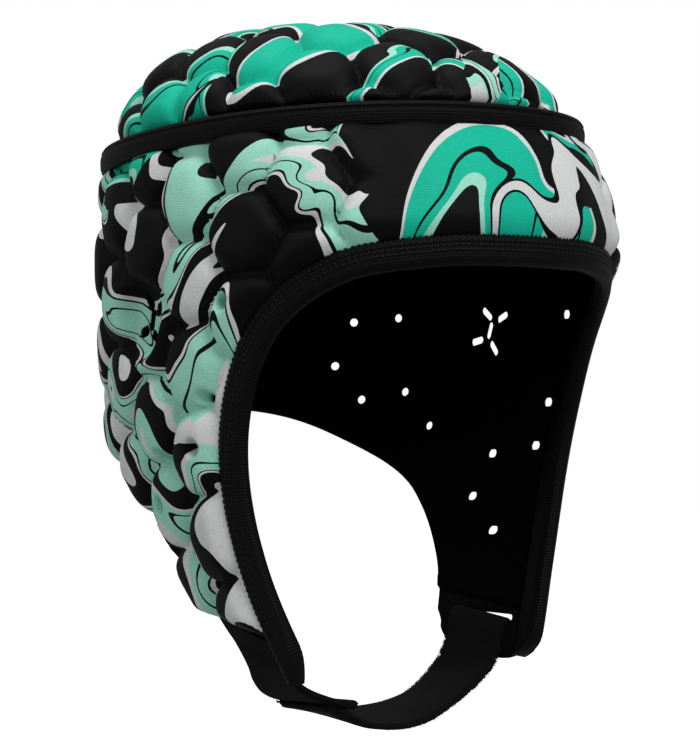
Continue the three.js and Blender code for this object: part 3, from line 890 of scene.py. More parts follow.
@dataclass(frozen=True)
class PrintFinish(Finish):
    """Printed stretch fabric over foam."""

    name: str = "marbled_print"
    roughness: float = 0.55
    bump: float = 0.22
    bump_depth: float = 0.0002
    large: float = 15.0
    small: float = 19.0
    large_seed: float = 57.0
    small_seed: float = 163.0
    warp: float = 2.4
    black: Colour = (0.0016, 0.0016, 0.002)
    emerald: Colour = (0.006, 0.42, 0.28)
    mint: Colour = (0.29, 0.62, 0.50)
    white: Colour = (0.57, 0.585, 0.58)
    rim: float = 0.010
    to_back: float = 2.0
    to_top: float = -2.8
    by_patch: float = 1.2
    pale_from: float = 0.75
    knit: float = 13.0
    least_ink: float = 0.85
    fleck: float = 0.3

    @staticmethod
    def over(graph: Graph, mask: Socket, ground: Socket, ink: Socket | Colour) -> Socket:
        """Colour of a ground with ink on it where a mask is one."""
        ink = ink if isinstance(ink, Socket) else (*ink, 1.0)
        return graph.add("ShaderNodeMix", {0: mask, 6: ground, 7: ink}, data_type="RGBA").outputs[2]

    def pattern(self, graph: Graph) -> tuple[Socket | Colour, Socket, Socket]:
        """Two marbled palettes, each in its own region, on a fine knit with painted shade in its hollows.

        Args:
            graph: Node tree of the material.

        Returns:
            Colour, shade and height.
        """
        place = graph.add("ShaderNodeAttribute", attribute_name="fabric").outputs["Vector"]
        marble = marble_group()
        large, small = (
            graph.group(marble, {"Vector": place, "Scale": scale, "Warp": self.warp, "Seed": seed})
            for scale, seed in ((self.large, self.large_seed), (self.small, self.small_seed))
        )
        k, e, m, w = self.black, self.emerald, self.mint, self.white
        deep = graph.bands(large["Band"], (
            (0.0, e), (0.12, w), (0.15, k), (0.37, w), (0.40, e), (0.53, k),
            (0.545, e), (0.59, m), (0.63, k), (0.85, w), (0.89, e),
        ))
        pale = graph.bands(small["Band"], (
            (0.0, w), (0.14, k), (0.33, w), (0.36, k), (0.38, m), (0.48, k),
            (0.50, m), (0.57, w), (0.62, k), (0.82, m), (0.90, w),
        ))
        for reach, ink in ((self.rim, k), (0.0, w)):
            deep = self.over(graph, graph.math("LESS_THAN", large["Ribbon"], reach), deep, ink)
        parts = graph.axes(place)
        lift = graph.math("MULTIPLY", parts["Z"], self.to_top)
        patch = graph.math("MULTIPLY", small["Patch"], self.by_patch)
        region = graph.math("ADD", graph.math("MULTIPLY_ADD", parts["Y"], self.to_back, lift), patch)
        printed = self.over(graph, graph.math("GREATER_THAN", region, self.pale_from), deep, pale)
        knit = graph.group(knit_group(), {"Vector": graph.coordinates("UV"), "Scale": self.knit})
        fleck = graph.math("MULTIPLY_ADD", small["Fleck"], self.fleck, self.least_ink)
        # Painted shade of the knit's hollows, times the random grain of the ink
        return printed, graph.math("MULTIPLY", knit["Shade"], fleck), knit["Height"]


@dataclass(frozen=True)
class KnitFinish(Finish):
    """Plain dark knit of the linings and the flap ends."""

    name: str = "dark_knit"
    shine: float = 0.03
    colour: Colour = (0.0012, 0.0013, 0.0012)
    scale: float = 9.0

    def pattern(self, graph: Graph) -> tuple[Socket | Colour, Socket, Socket]:
        """Dark colour with painted shade in the knit's hollows, and the knit's height."""
        knit = graph.group(knit_group(), {"Vector": graph.coordinates("UV"), "Scale": self.scale})
        # Painted shade: the knit's Shade darkens the colour between the stitches
        return self.colour, knit["Shade"], knit["Height"]


@dataclass(frozen=True)
class TapeFinish(Finish):
    """Ribbed woven tape."""

    name: str = "ribbed_tape"
    roughness: float = 0.5
    bump: float = 0.5
    colour: Colour = (0.0016, 0.0016, 0.0018)
    along: float = 57.0
    across: float = 60.0
    # Painted light of the ribs: base factor, and how much lighter the painted highlight makes the rib crests
    least: float = 0.75
    rib_highlight: float = 0.4

    def pattern(self, graph: Graph) -> tuple[Socket | Colour, Socket, Socket]:
        """Dark colour with a painted highlight on the rib crests and painted shade in the grooves, and the
        ribs' height.

        Args:
            graph: Node tree of the material.

        Returns:
            Colour, shade and height.
        """
        sizes = {"Vector": graph.coordinates("UV"), "Along": self.along, "Across": self.across}
        height = graph.group(rib_group(), sizes)["Height"]
        # Painted highlight on the rib crests and painted shade in the grooves, with random tone from the
        # noise
        return self.colour, graph.math("MULTIPLY_ADD", height, self.rib_highlight, self.least), height


@dataclass(frozen=True)
class PileFinish(Finish):
    """Brushed loop pile of the strap."""

    name: str = "brushed_pile"
    roughness: float = 0.9
    shine: float = 0.08
    sheen: float = 0.02
    bump: float = 0.8
    bump_depth: float = 0.0006
    colour: Colour = (0.003, 0.003, 0.0035)
    scale: float = 900.0
    detail: float = 4.0
    least: float = 0.5

    def pattern(self, graph: Graph) -> tuple[Socket | Colour, Socket, Socket]:
        """Dark colour and a rough, uneven nap."""
        nap = graph.noise(graph.coordinates("Object"), self.scale, self.detail)
        return self.colour, graph.math("ADD", self.least, nap), nap


@dataclass
class Finishes:
    """One material for each finish."""

    printed: bpy.types.Material
    lining: bpy.types.Material
    tape: bpy.types.Material
    tab: bpy.types.Material
    pile: bpy.types.Material
    thread: bpy.types.Material

    @classmethod
    def make(cls) -> Finishes:
        """Make all materials.

        Returns:
            The materials by name.
        """
        # The lining and flap-end knits carry painted shade in the hollows between the stitches
        tab = KnitFinish(name="flap_end_knit", colour=(0.003, 0.003, 0.0035), scale=11.0, shine=0.06)
        return cls(
            printed=PrintFinish().material(),
            lining=KnitFinish(name="lining_knit").material(),
            tape=TapeFinish().material(),
            tab=tab.material(),
            pile=PileFinish().material(),
            # The thread's ribs get the tape's painted highlight and painted shade too
            thread=TapeFinish(name="thread", colour=(0.012, 0.012, 0.013), along=150.0).material(),
        )


# Foam cells


@dataclass(frozen=True)
class Foam:
    """Thickness of the padding, as offsets from the inside surface in millimetres."""

    inner: float = 1.3
    rim: float = 3.4
    seam: float = 6.0
    valley: float = 3.6
    peak: float = 10.5
    vent: float = 1.75
    edge_reach: float = 8.0
    seam_reach: float = 7.0
    flatness: float = 4.0
    shoulder: float = 1.45
    corner: float = 8.0
    lowest: float = 0.9
    uneven: float = 0.16
    lot: tuple[float, float, float] = (12.99, 78.23, 43758.55)

    def lot_of(self, column: Array, row: Array) -> Array:
        """Number from 0 to 1 that is each cell's own."""
        return np.mod(np.sin(column * self.lot[0] + row * self.lot[1]) * self.lot[2], 1.0)

    def pillow(self, across: Array, down: Array, odd: int) -> Array:
        """Height of the foam cells.

        Args:
            across: Places along the rows, in thirds of a column.
            down: Places down the columns, in half cells.
            odd: 1 if odd columns sit half a cell lower, 0 if even ones do.

        Returns:
            Heights from 0 in the valleys to about 1 on the cells.
        """
        best = np.full(across.shape, np.inf)
        lot = np.zeros(across.shape)
        for shift in (0, 1):
            column = np.floor(across / 3.0) + shift
            parity = np.mod(column + 1 - odd, 2)
            row = np.round((down - parity) / 2.0)
            side, fall = across - 3.0 * column, down - 2.0 * row - parity
            sizes = np.abs(np.stack([fall, (side + fall) / 2.0, (side - fall) / 2.0]))
            reach = (sizes**self.corner).sum(axis=0) ** (1.0 / self.corner)
            nearer = reach < best
            best = np.where(nearer, reach, best)
            lot = np.where(nearer, self.lot_of(column, row), lot)
        rise = np.maximum(1.0 - np.minimum(best, 1.0) ** self.flatness, 0.0) ** (1.0 / self.shoulder)
        return rise * (self.lowest + self.uneven * lot)

    def at_seam(self, height: Array, seam: Array) -> Array:
        """Heights rounded down towards the seam under the piping."""
        return np.where(height > self.seam, blend(self.seam, height, rounded(seam, self.seam_reach)), height)


@dataclass
class Crown:
    """The domed top: a padded printed shell and its lining."""

    form: HeadForm
    foam: Foam
    edge: float = 3.8
    lining_edge: float = 0.1
    cell_side: float = 16.5
    step: float = 1.45
    lining: float = 1.0
    lining_step: float = 3.0
    sheet_spare: float = 1.13

    def depth(self, above: float) -> Field:
        """Distance into the crown from an edge that lies above the seam."""
        form = self.form
        return lambda flat: form.crown_reach(form.crown_turn(flat), above) - form.dome_length(flat)

    def outer(self, flat: Array) -> Array:
        """Offset of the printed face.

        Args:
            flat: Places of the flattened crown.

        Returns:
            One offset for each place.
        """
        across, down = flat[:, 0] / (self.cell_side / 2.0), -flat[:, 1] / (self.cell_side * math.sqrt(0.75))
        height = blend(self.foam.valley, self.foam.peak, self.foam.pillow(across, down, 1))
        return self.foam.at_seam(height, self.depth(self.edge)(flat))

    def shell(self, above: float, step: float, outer: Field, inner: float) -> Mesh:
        """Shell of the dome down to the seam.

        Args:
            above: Distance of its edge above the seam.
            step: Size of its squares.
            outer: Offset of its outer face.
            inner: Offset of its inner face.

        Returns:
            The closed body.
        """
        reach = self.sheet_spare * float(self.form.crown_reach(np.array([math.pi]), above)[0])
        sheet = FlatSheet((-reach, -reach), (reach, reach), step)
        sheet.cut(self.depth(above))
        return sheet.lay(self.form.crown, outer, level(inner))

    def build(self, finishes: Finishes) -> None:
        """Build and dress the pad and the lining.

        Args:
            finishes: The materials.
        """
        body = self.shell(self.edge, self.step, self.outer, self.foam.inner)
        pad = add_piece("crown_cover", body, finishes.printed)
        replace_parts(pad, "crown_pad")
        cloth = self.shell(self.lining_edge, self.lining_step, level(self.lining), 0.0)
        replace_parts(add_piece("crown_inside", cloth, finishes.lining), "crown_lining")


@dataclass
class Wall:
    """The wrap-round wall with its flaps: a padded printed shell and its lining."""

    form: HeadForm
    foam: Foam
    outline: Outline
    edge: float = -3.8
    lining_edge: float = -0.1
    low_z: float = -226.0
    inset: float = 9.4
    step: float = 1.45
    columns: int = 22
    pitch: float = 30.0
    cell_top_z: float = -31.5
    rise: float = 0.12
    rise_depth: float = 100.0
    rise_most: float = 1.3
    front_half: float = 50.0
    front_fade: float = 14.0
    fullness: float = 0.55
    wave: float = 0.05
    wave_along: float = 0.16
    wave_start: float = 1.0
    wave_down: float = 0.11
    ripple: float = 0.03
    ripple_along: float = 0.31
    lining: float = 1.0
    lining_step: float = 2.4
    lining_lap: float = 4.0
    hem_drop: float = 0.5
    hem_reach: float = 2.0
    hem_outer: float = 1.9
    cover_wider: float = 0.5
    halved_within: tuple[float, float] = (3.5, 1.8)
    vent_radius: float = 1.65
    vent_longer: float = 1.7
    vent_long_end: float = 185.0
    vent_smaller: float = 0.5
    pit_length: float = 10.0
    pit_narrower: float = 1.8
    pit_slope: tuple[float, float] = (1.2, 4.6)
    vents: Rows = (
        (74.0, -98.0), (59.0, -96.5), (79.0, -115.5), (70.5, -129.0), (55.0, -126.0), (43.0, -139.5),
        (9.5, -150.5), (-14.5, -147.5), (-20.0, -131.0), (15.5, -167.0), (0.5, -180.0), (-31.0, -98.0),
    )
    ear: tuple[float, float] = (17.0, -102.5)
    ear_reach: float = 13.0
    ear_slope: tuple[float, float] = (-3.0, 3.5)
    slot_half: float = 2.0
    slot_radius: float = 1.45
    # Place behind and below the middle of the ear, and turn in degrees
    slots: Rows = (
        (0.0, 0.0, 107.0), (-7.0, -5.0, 156.0), (6.5, 4.0, 168.0), (-2.5, 7.0, 51.0), (1.5, -6.5, 40.0),
    )

    @cached_property
    def vent_places(self) -> Array:
        """Flat places of the vents on the left half."""
        return self.outline.flat(np.array(self.vents))

    @cached_property
    def slot_lines(self) -> list[Array]:
        """Flat middle lines of the ear slots on the left half.

        Returns:
            Both ends of each slot.
        """
        lines = []
        for back, down, turn in self.slots:
            way = self.slot_half * np.array([math.cos(math.radians(turn)), math.sin(math.radians(turn))])
            middle = np.array([self.ear[0] + back, self.ear[1] - down])
            lines.append(self.outline.flat(np.stack([middle - way, middle + way])))
        return lines

    def vent_distance(self, flat: Array) -> Array:
        """Distance from the nearest vent's middle, where those at the front of the left flap are long.

        Args:
            flat: Flat places of the wall.

        Returns:
            One distance for each place.
        """
        half, arcs = left_half(flat), self.vent_places[:, 0]
        front = np.clip((self.vent_long_end - arcs) / (self.vent_long_end - arcs.min()), 0.0, 1.0)
        aside = np.abs(half[:, None, 0] - arcs) - np.where(flat[:, :1] > 0.0, self.vent_longer * front, 0.0)
        away = np.hypot(np.maximum(aside, 0.0), half[:, None, 1] - self.vent_places[:, 1]).min(axis=1)
        return away + np.where(flat[:, 0] > 0.0, 0.0, self.vent_smaller)

    def pit_distance(self, flat: Array) -> Array:
        """Distance from the nearest vent, where those on the left are drawn out to the rear.

        Args:
            flat: Flat places of the wall.

        Returns:
            One distance for each place.
        """
        rear = np.array([self.pit_length, 0.0])
        lines = [np.stack([vent, vent + rear]) for vent in self.vent_places]
        drawn = np.stack([distance_to_line(left_half(flat), line) for line in lines]).min(axis=0)
        return np.where(flat[:, 0] > 0.0, drawn, self.vent_distance(flat) + self.pit_narrower)

    def ear_distance(self, flat: Array) -> Array:
        """Distance from the middle of the ear."""
        return np.linalg.norm(left_half(flat) - self.outline.flat(np.array([self.ear]))[0], axis=1)

    def hole_depth(self, flat: Array, wider: float) -> Array:
        """Distance from the nearest hole's rim, for holes made wider by a length."""
        slots = np.stack([distance_to_line(left_half(flat), line) for line in self.slot_lines]).min(axis=0)
        return np.minimum(self.vent_distance(flat) - self.vent_radius, slots - self.slot_radius) - wider

    def below_top(self, flat: Array, edge: float) -> Array:
        """Distance below an upper edge that lies above the seam."""
        return self.form.seam(self.form.turn_at(flat[:, 0]), edge) - flat[:, 1]

    def cells(self, flat: Array) -> Array:
        """Height of the foam cells, whose rows climb towards the front.

        Args:
            flat: Flat places of the wall.

        Returns:
            Heights from 0 in the valleys to about 1 on the cells.
        """
        arc, z = flat.T
        slope = self.rise * (self.form.half_round / 2.0 - np.abs(arc)) / self.rise_depth
        row = (z - slope * self.cell_top_z) / (1.0 - slope)
        deepest = self.rise_depth * self.rise_most
        row = np.where(self.cell_top_z - row > deepest, z - slope * deepest, row)
        column = 2.0 * self.form.half_round / self.columns
        return self.foam.pillow(arc / (column / 3.0), (self.cell_top_z - row) / (self.pitch / 2.0), 0)

    def brow(self, arc: Array, z: Array) -> Array:
        """Height of the smooth panel at the front, which waves a little."""
        wave = self.wave * np.sin(arc * self.wave_along + self.wave_start) * np.sin(z * self.wave_down)
        return self.fullness + wave + self.ripple * np.sin(arc * self.ripple_along)

    def outer(self, flat: Array) -> Array:
        """Offset of the printed face.

        Args:
            flat: Flat places of the wall.

        Returns:
            One offset for each place.
        """
        foam, arc, z = self.foam, flat[:, 0], flat[:, 1]
        front = 1.0 - smoothstep(np.abs(arc), self.front_half, self.front_half + self.front_fade)
        height = blend(foam.valley, foam.peak, blend(self.cells(flat), self.brow(arc, z), front))
        edge = np.minimum(self.outline.edge_depth(self.inset)(flat), self.outline.above_foam_end(flat))
        height = blend(foam.rim, height, rounded(edge, foam.edge_reach))
        height = foam.at_seam(height, self.below_top(flat, self.edge))
        for distance, radius, (start, end) in (
            (self.pit_distance(flat), self.vent_radius, self.pit_slope),
            (self.ear_distance(flat), self.ear_reach, self.ear_slope),
        ):
            height = blend(foam.vent, height, smoothstep(distance, radius + start, radius + end))
        return height

    def hem(self, flat: Array) -> Array:
        """Offset of the lining's inner face, which laps over the flap ends."""
        return -self.hem_drop * smoothstep(-self.outline.above_foam_end(flat), -self.hem_reach, 0.0)

    def shell(self, edge: float, step: float, wider: float, lap: float, outer: Field, inner: Field) -> Mesh:
        """Shell of the wall with its holes.

        Args:
            edge: Distance of its upper edge above the seam.
            step: Size of its squares.
            wider: How much wider its holes are than the lining's.
            lap: How far it runs past the end of the foam.
            outer: Offset of its outer face.
            inner: Offset of its inner face.

        Returns:
            The closed body.
        """
        lower = self.outline.edge_depth(self.inset)

        def bounds(flat: Array) -> Array:
            """Distance into the wall from its outer edges."""
            foam_end = self.outline.above_foam_end(flat) + lap
            return np.minimum.reduce([lower(flat), foam_end, self.below_top(flat, edge)])

        def holes(flat: Array) -> Array:
            """Distance from the rims of its holes."""
            return self.hole_depth(flat, wider)

        half = self.form.half_round
        top = float(self.form.seam(np.array([0.0]), edge)[0])
        sheet = FlatSheet((-half, self.low_z), (half, top + step), step)
        sheet.trim(bounds, 2.0 * step)
        for reach in self.halved_within:
            sheet.refine(holes, reach)
        sheet.cut(lambda flat: np.minimum(bounds(flat), holes(flat)))
        return sheet.lay(self.form.wall, outer, inner)

    def build(self, finishes: Finishes) -> None:
        """Build and dress the pad and the lining.

        Args:
            finishes: The materials.
        """
        body = self.shell(self.edge, self.step, self.cover_wider, 0.0, self.outer, level(self.foam.inner))
        pad = add_piece("wall_cover", body, finishes.printed)
        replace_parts(pad, "wall_pad")
        cloth = self.shell(self.lining_edge, self.lining_step, 0.0, self.lining_lap,
                           lambda flat: self.hem_outer * self.hem(flat) + self.lining, self.hem)
        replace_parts(add_piece("wall_inside", cloth, finishes.lining), "wall_lining")


# Trims


@dataclass
class Piping:
    """The raised roll over the seam of the crown."""

    form: HeadForm
    inner: float = 3.0
    outer: float = 11.5
    half_height: float = 4.7
    depth: float = 3.2
    power: float = 0.7
    neck: float = 3.2
    stem: float = 6.9
    steps: int = 900
    profile_points: int = 41
    fold: float = 0.7
    fold_height: float = 2.4
    fold_width: float = 0.45
    rib: float = 0.07
    rib_pitch: float = 1.05

    def profile(self) -> Array:
        """Section of the roll with a fold, fine ribs and a stem.

        Returns:
            Distances outward and heights.
        """
        angle = np.linspace(-math.pi / 2.0, math.pi / 2.0, self.profile_points)
        height = self.half_height * signed_power(np.sin(angle), self.power)
        depth = self.depth * np.cos(angle) ** self.power
        depth -= self.fold * np.exp(-(((height - self.fold_height) / self.fold_width) ** 2))
        depth += self.rib * np.cos(height * 2.0 * math.pi / self.rib_pitch)
        roll = np.stack([self.outer - self.depth + depth, height], axis=1)
        upper = [(self.stem, self.neck), (self.inner, self.neck)]
        lower = [(out, -up) for out, up in reversed(upper)]
        return np.vstack([roll, upper, lower])

    def build(self, finishes: Finishes) -> None:
        """Build and dress the roll.

        Args:
            finishes: The materials.
        """
        turn = np.linspace(0.0, 2.0 * math.pi, self.steps, endpoint=False)
        seam = self.form.seam(turn, 0.0)
        out = unit(self.form.normal(turn, seam) * [1.0, 1.0, 0.0])
        profile = self.profile()
        rings = self.form.point(turn, seam)[:, None, :] + out[:, None, :] * profile[None, :, :1]
        rings[..., 2] = self.form.seam_z + self.form.seam_slope * rings[..., 1] + profile[None, :, 1]
        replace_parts(add_piece("piping_roll", sweep(rings, True), finishes.tape), "crown_piping")


@dataclass
class Binding:
    """The tape sewn round the face opening."""

    form: HeadForm
    outline: Outline
    width: float = 10.2
    inner: float = -1.5
    outer: float = 4.9
    lap: float = 3.9
    lap_fall: float = 0.5
    lap_round: float = 1.3
    back_inset: float = 0.6
    back_drop: float = 0.4
    back_edge: float = 0.2
    bend_points: int = 13
    face_points: int = 20
    tooth: float = 0.45
    tooth_pitch: float = 1.9
    tooth_root: float = 0.6
    step: float = 0.5
    curve_points: int = 1200
    overrun: dict[Side, float] = field(default_factory=lambda: {Side.RIGHT: 4.2, Side.LEFT: 6.2})
    end_round: float = 19.0
    end_edge: float = 0.3
    end_width: float = 0.4
    ridges: tuple[float, ...] = (5.4, 7.0, 8.6)
    ridge_height: float = 0.28
    ridge_width: float = 0.42
    stitch_pitch: float = 1.9
    stitch_size: tuple[float, float, float] = (0.72, 0.26, 0.22)
    stitch_rise: float = 0.26

    @cached_property
    def spots(self) -> tuple[Array, Array, Array, Array]:
        """Places along the face edge, from the end of the left flap to the end of the right one.

        Returns:
            Points with their normals, directions along the edge and directions into the wall.
        """
        face = self.outline.face_line
        onward = unit(face[-1] - face[-3])
        right, left = (
            np.vstack([face, face[-1] + self.overrun[side] * onward]) * [side.value, 1.0] for side in Side
        )
        line = even(spline(np.vstack([left[::-1], right[1:]]), self.curve_points), self.step)
        turn, z = self.form.turn_at(line[:, 0]), line[:, 1]
        points, normals = self.form.point(turn, z), self.form.normal(turn, z)
        along = unit(np.gradient(points, axis=0))
        return points, normals, along, unit(np.cross(along, normals))

    def profile(self) -> Array:
        """Section of the tape: its ridged face, the bend round the edge and the back.

        Returns:
            Distances into the wall and heights.
        """
        half, middle = (self.outer - self.inner) / 2.0, (self.outer + self.inner) / 2.0
        bend = np.linspace(math.pi / 2.0, 1.5 * math.pi, self.bend_points)
        edge = np.stack([half + half * np.cos(bend), middle + half * np.sin(bend)], axis=1)
        across = np.linspace(self.width, half, self.face_points)
        bumps = [np.exp(-(((across - place) / self.ridge_width) ** 2)) for place in self.ridges]
        low = 1.0 - rounded(self.width - across, self.lap_round, FULL_ROUND)
        height = self.outer + self.ridge_height * sum(bumps) - (self.outer - self.lap - self.lap_fall) * low
        back = [
            [self.width - self.back_inset, self.inner],
            [self.width - self.back_inset, self.lap - self.back_drop],
            [self.width - self.back_edge, self.lap],
        ]
        return np.vstack([np.stack([across, height], axis=1), edge[1:], back])

    def rings(self) -> Array:
        """Rings of the tape, with a toothed edge on the print and round ends.

        Returns:
            Points by ring, by place round the ring and by coordinate.
        """
        points, normals, _, into = self.spots
        profile = self.profile()
        lengths = np.arange(len(points)) * self.step
        teeth = self.tooth * np.abs(np.mod(lengths / self.tooth_pitch, 1.0) * 2.0 - 1.0) * 2.0
        reach = np.repeat(profile[None, :, :1], len(points), axis=0)
        for place, share in ((0, 1.0), (1, self.tooth_root), (-1, 1.0)):
            reach[:, place, 0] += share * teeth
        to_end = np.minimum(lengths, lengths[-1] - lengths)
        cut = self.end_round * (1.0 - rounded(to_end, self.end_round, FULL_ROUND))
        reach = np.maximum(reach, cut[:, None, None] + self.end_edge * np.minimum(reach, 1.0))
        rings = points[:, None, :] + into[:, None, :] * reach + normals[:, None, :] * profile[None, :, 1:]
        return rings[cut < self.width - self.end_width]

    def stitches(self) -> Mesh:
        """Three rows of short stitches along the tape.

        Returns:
            All stitches in one mesh.
        """
        shape = bmesh.new()
        bmesh.ops.create_uvsphere(shape, u_segments=6, v_segments=4, radius=1.0)
        bmesh.ops.scale(shape, vec=self.stitch_size, verts=shape.verts)
        stride, ends = max(1, round(self.stitch_pitch / self.step)), round(self.end_round / self.step)
        points, normals, along, into = (row[ends:len(row) - ends:stride] for row in self.spots)
        rows = [points + into * place + normals * (self.outer + self.stitch_rise) for place in self.ridges]
        return repeat(shape, np.concatenate([frames_at(spots, along, into, normals) for spots in rows]))

    def build(self, finishes: Finishes) -> None:
        """Build and dress the tape and its stitches.

        Args:
            finishes: The materials.
        """
        tape = add_piece("face_tape", sweep(self.rings(), False), finishes.tape)
        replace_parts(tape, "face_binding")
        add_piece("face_stitches", self.stitches(), finishes.thread)


def band_rings(middle: Array, thickness: float | Array, ragged: Array | None = None) -> Array:
    """Rings of a flat flexible band.

    Args:
        middle: Points of its middle surface, by place along it, by place across it and by coordinate.
        thickness: Thickness of the band, or a column of one for each place along it.
        ragged: How far each long edge stands out at each place along it.

    Returns:
        Rings with round edges.
    """
    round_share, thinnest = 0.6, 0.08
    along, across = np.gradient(middle, axis=0), np.gradient(middle, axis=1)
    up = unit(np.cross(along, across))
    share = np.linspace(0.0, 1.0, middle.shape[1])
    widths = np.linalg.norm(middle[:, -1] - middle[:, 0], axis=1)
    edge = np.minimum(share, 1.0 - share)[None, :] * widths[:, None]
    half = np.maximum(rounded(edge, thickness * round_share, FULL_ROUND), thinnest) * thickness / 2.0
    if ragged is not None:
        middle = middle.copy()
        middle[:, 0] -= unit(across[:, 0]) * ragged[:, :1]
        middle[:, -1] += unit(across[:, -1]) * ragged[:, 1:]
    over, under = middle + up * half[..., None], middle - up * half[..., None]
    return np.concatenate([over, under[:, ::-1]], axis=1)


def close_ends(rings: Array, count: int) -> Array:
    """Rings of a band whose first and last few draw in to round ends.

    Args:
        rings: Rings of the band.
        count: How many rings each end takes.

    Returns:
        Rings of the same shape.
    """
    thinnest = 0.1
    middle = (rings + rings[:, ::-1]) / 2.0
    place = np.minimum(np.arange(len(rings)), np.arange(len(rings))[::-1])
    share = np.maximum(rounded(place.astype(float), float(count), FULL_ROUND), thinnest)
    return middle + (rings - middle) * share[:, None, None]


@dataclass
class FlapEnds:
    """The flat ends of the flaps: the right one runs out into a tongue, the left one has a slot."""

    form: HeadForm
    outline: Outline
    thickness: float = 2.8
    gap: float = 0.3
    inset: float = 9.6
    step: float = 0.9
    sharp: float = 60.0
    left_span: tuple[float, float] = (0.32, 0.68)
    left_top: float = -190.0
    left_spare: float = 2.0
    left_edge: float = 0.2
    left_round: float = 1.6
    slot_y: float = -0.7
    slot_z: float = -212.6
    slot_half: float = 12.1
    slot_radius: float = 1.8
    slot_slope: float = 0.05
    rear_round: Rows = ((36.0, -190.0), (12.6, -211.5), (8.0, -217.5), (2.4, -222.0), (-6.0, -227.5))
    rear_points: int = 40
    right_rows: int = 160
    right_columns: int = 25
    right_end_rings: int = 4
    tongue_half: float = 16.5
    # Heights at the rear and at the front
    rows_on_flap: Rows = ((-207.4, -217.4), (-213.0, -220.0), (-217.0, -222.5))
    # Middle of the row, lean and roll
    tongue: Rows = (
        (-58.2, -24.6, -226.0, -0.22, -0.01), (-54.6, -23.6, -230.7, -0.16, -0.02),
        (-48.0, -21.4, -235.2, -0.08, -0.03), (-38.0, -18.6, -238.5, 0.0, -0.01),
        (-27.0, -16.4, -240.4, 0.0, 0.03), (-23.5, -15.8, -240.6, 0.0, -0.04),
    )

    def left_depth(self, flat: Array) -> Array:
        """Distance into the end of the left flap, with its slot.

        Args:
            flat: Flat places of the wall.

        Returns:
            One distance for each place, negative outside.
        """
        lower = self.outline.edge_depth(self.inset)(flat)
        foam_end = -self.outline.above_foam_end(flat) - self.gap
        swing = self.form.point(np.array([math.pi / 2.0]), np.array([self.slot_z]))[0, 1]
        way = self.slot_half * np.array([1.0, self.slot_slope])
        ends = np.array([self.slot_y - swing, self.slot_z]) + np.stack([-way, way])
        slot = distance_to_line(flat, self.outline.flat(ends)) - self.slot_radius
        rear = self.outline.flat(spline(self.rear_round, self.rear_points))
        ahead = np.interp(-flat[:, 1], -rear[:, 1], rear[:, 0]) - flat[:, 0]
        return np.minimum.reduce([lower, foam_end, slot, np.copysign(distance_to_line(flat, rear), ahead)])

    def left_panel(self) -> Mesh:
        """Flat end of the left flap, with round edges.

        Returns:
            The closed body.
        """
        half = self.thickness / 2.0
        first, last = (self.form.half_round * share for share in self.left_span)
        sheet = FlatSheet((first, self.outline.end_z - self.left_spare), (last, self.left_top), self.step)
        sheet.cut(self.left_depth)

        def full(flat: Array) -> Array:
            """Half of the thickness, which falls off round at the edges."""
            depth = np.maximum(self.left_depth(flat), 0.0)
            return blend(self.left_edge, half, rounded(depth, self.left_round, FULL_ROUND))

        return sheet.lay(self.form.wall, lambda flat: half + full(flat), lambda flat: half - full(flat))

    def right_panel(self) -> Mesh:
        """Flat end of the right flap, which bends under the chin as a tongue.

        Returns:
            The closed body.
        """
        share = np.linspace(0.0, 1.0, self.right_columns)
        neck, face = self.outline.neck_line, beside(self.outline.face_line, self.inset)
        sections = []
        for rear_z, front_z in self.rows_on_flap:
            rear = np.interp(-rear_z, -neck[:, 1], neck[:, 0])
            front = np.interp(-front_z, -face[:, 1], face[:, 0])
            flat = np.stack([-blend(rear, front, share), blend(rear_z, front_z, share)], axis=1)
            sections.append(self.form.wall(flat, np.full(len(flat), self.thickness / 2.0)))
        for x, y, z, lean, roll in self.tongue:
            way = unit(np.array([lean, -1.0, -roll])) * self.tongue_half
            sections.append(np.array([x, y, z]) + (2.0 * share[:, None] - 1.0) * way)
        rows = spline(np.array(sections).reshape(len(sections), -1), self.right_rows)
        middle = rows.reshape(self.right_rows, self.right_columns, 3)
        return sweep(close_ends(band_rings(middle, self.thickness), self.right_end_rings), False)

    def build(self, finishes: Finishes) -> None:
        """Build and dress both ends.

        Args:
            finishes: The materials.
        """
        right = add_piece("right_flap_end", self.right_panel(), finishes.tab, self.sharp)
        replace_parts(right, "right_tab")
        left = add_piece("left_flap_end", self.left_panel(), finishes.tab, self.sharp)
        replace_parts(left, "left_tab")


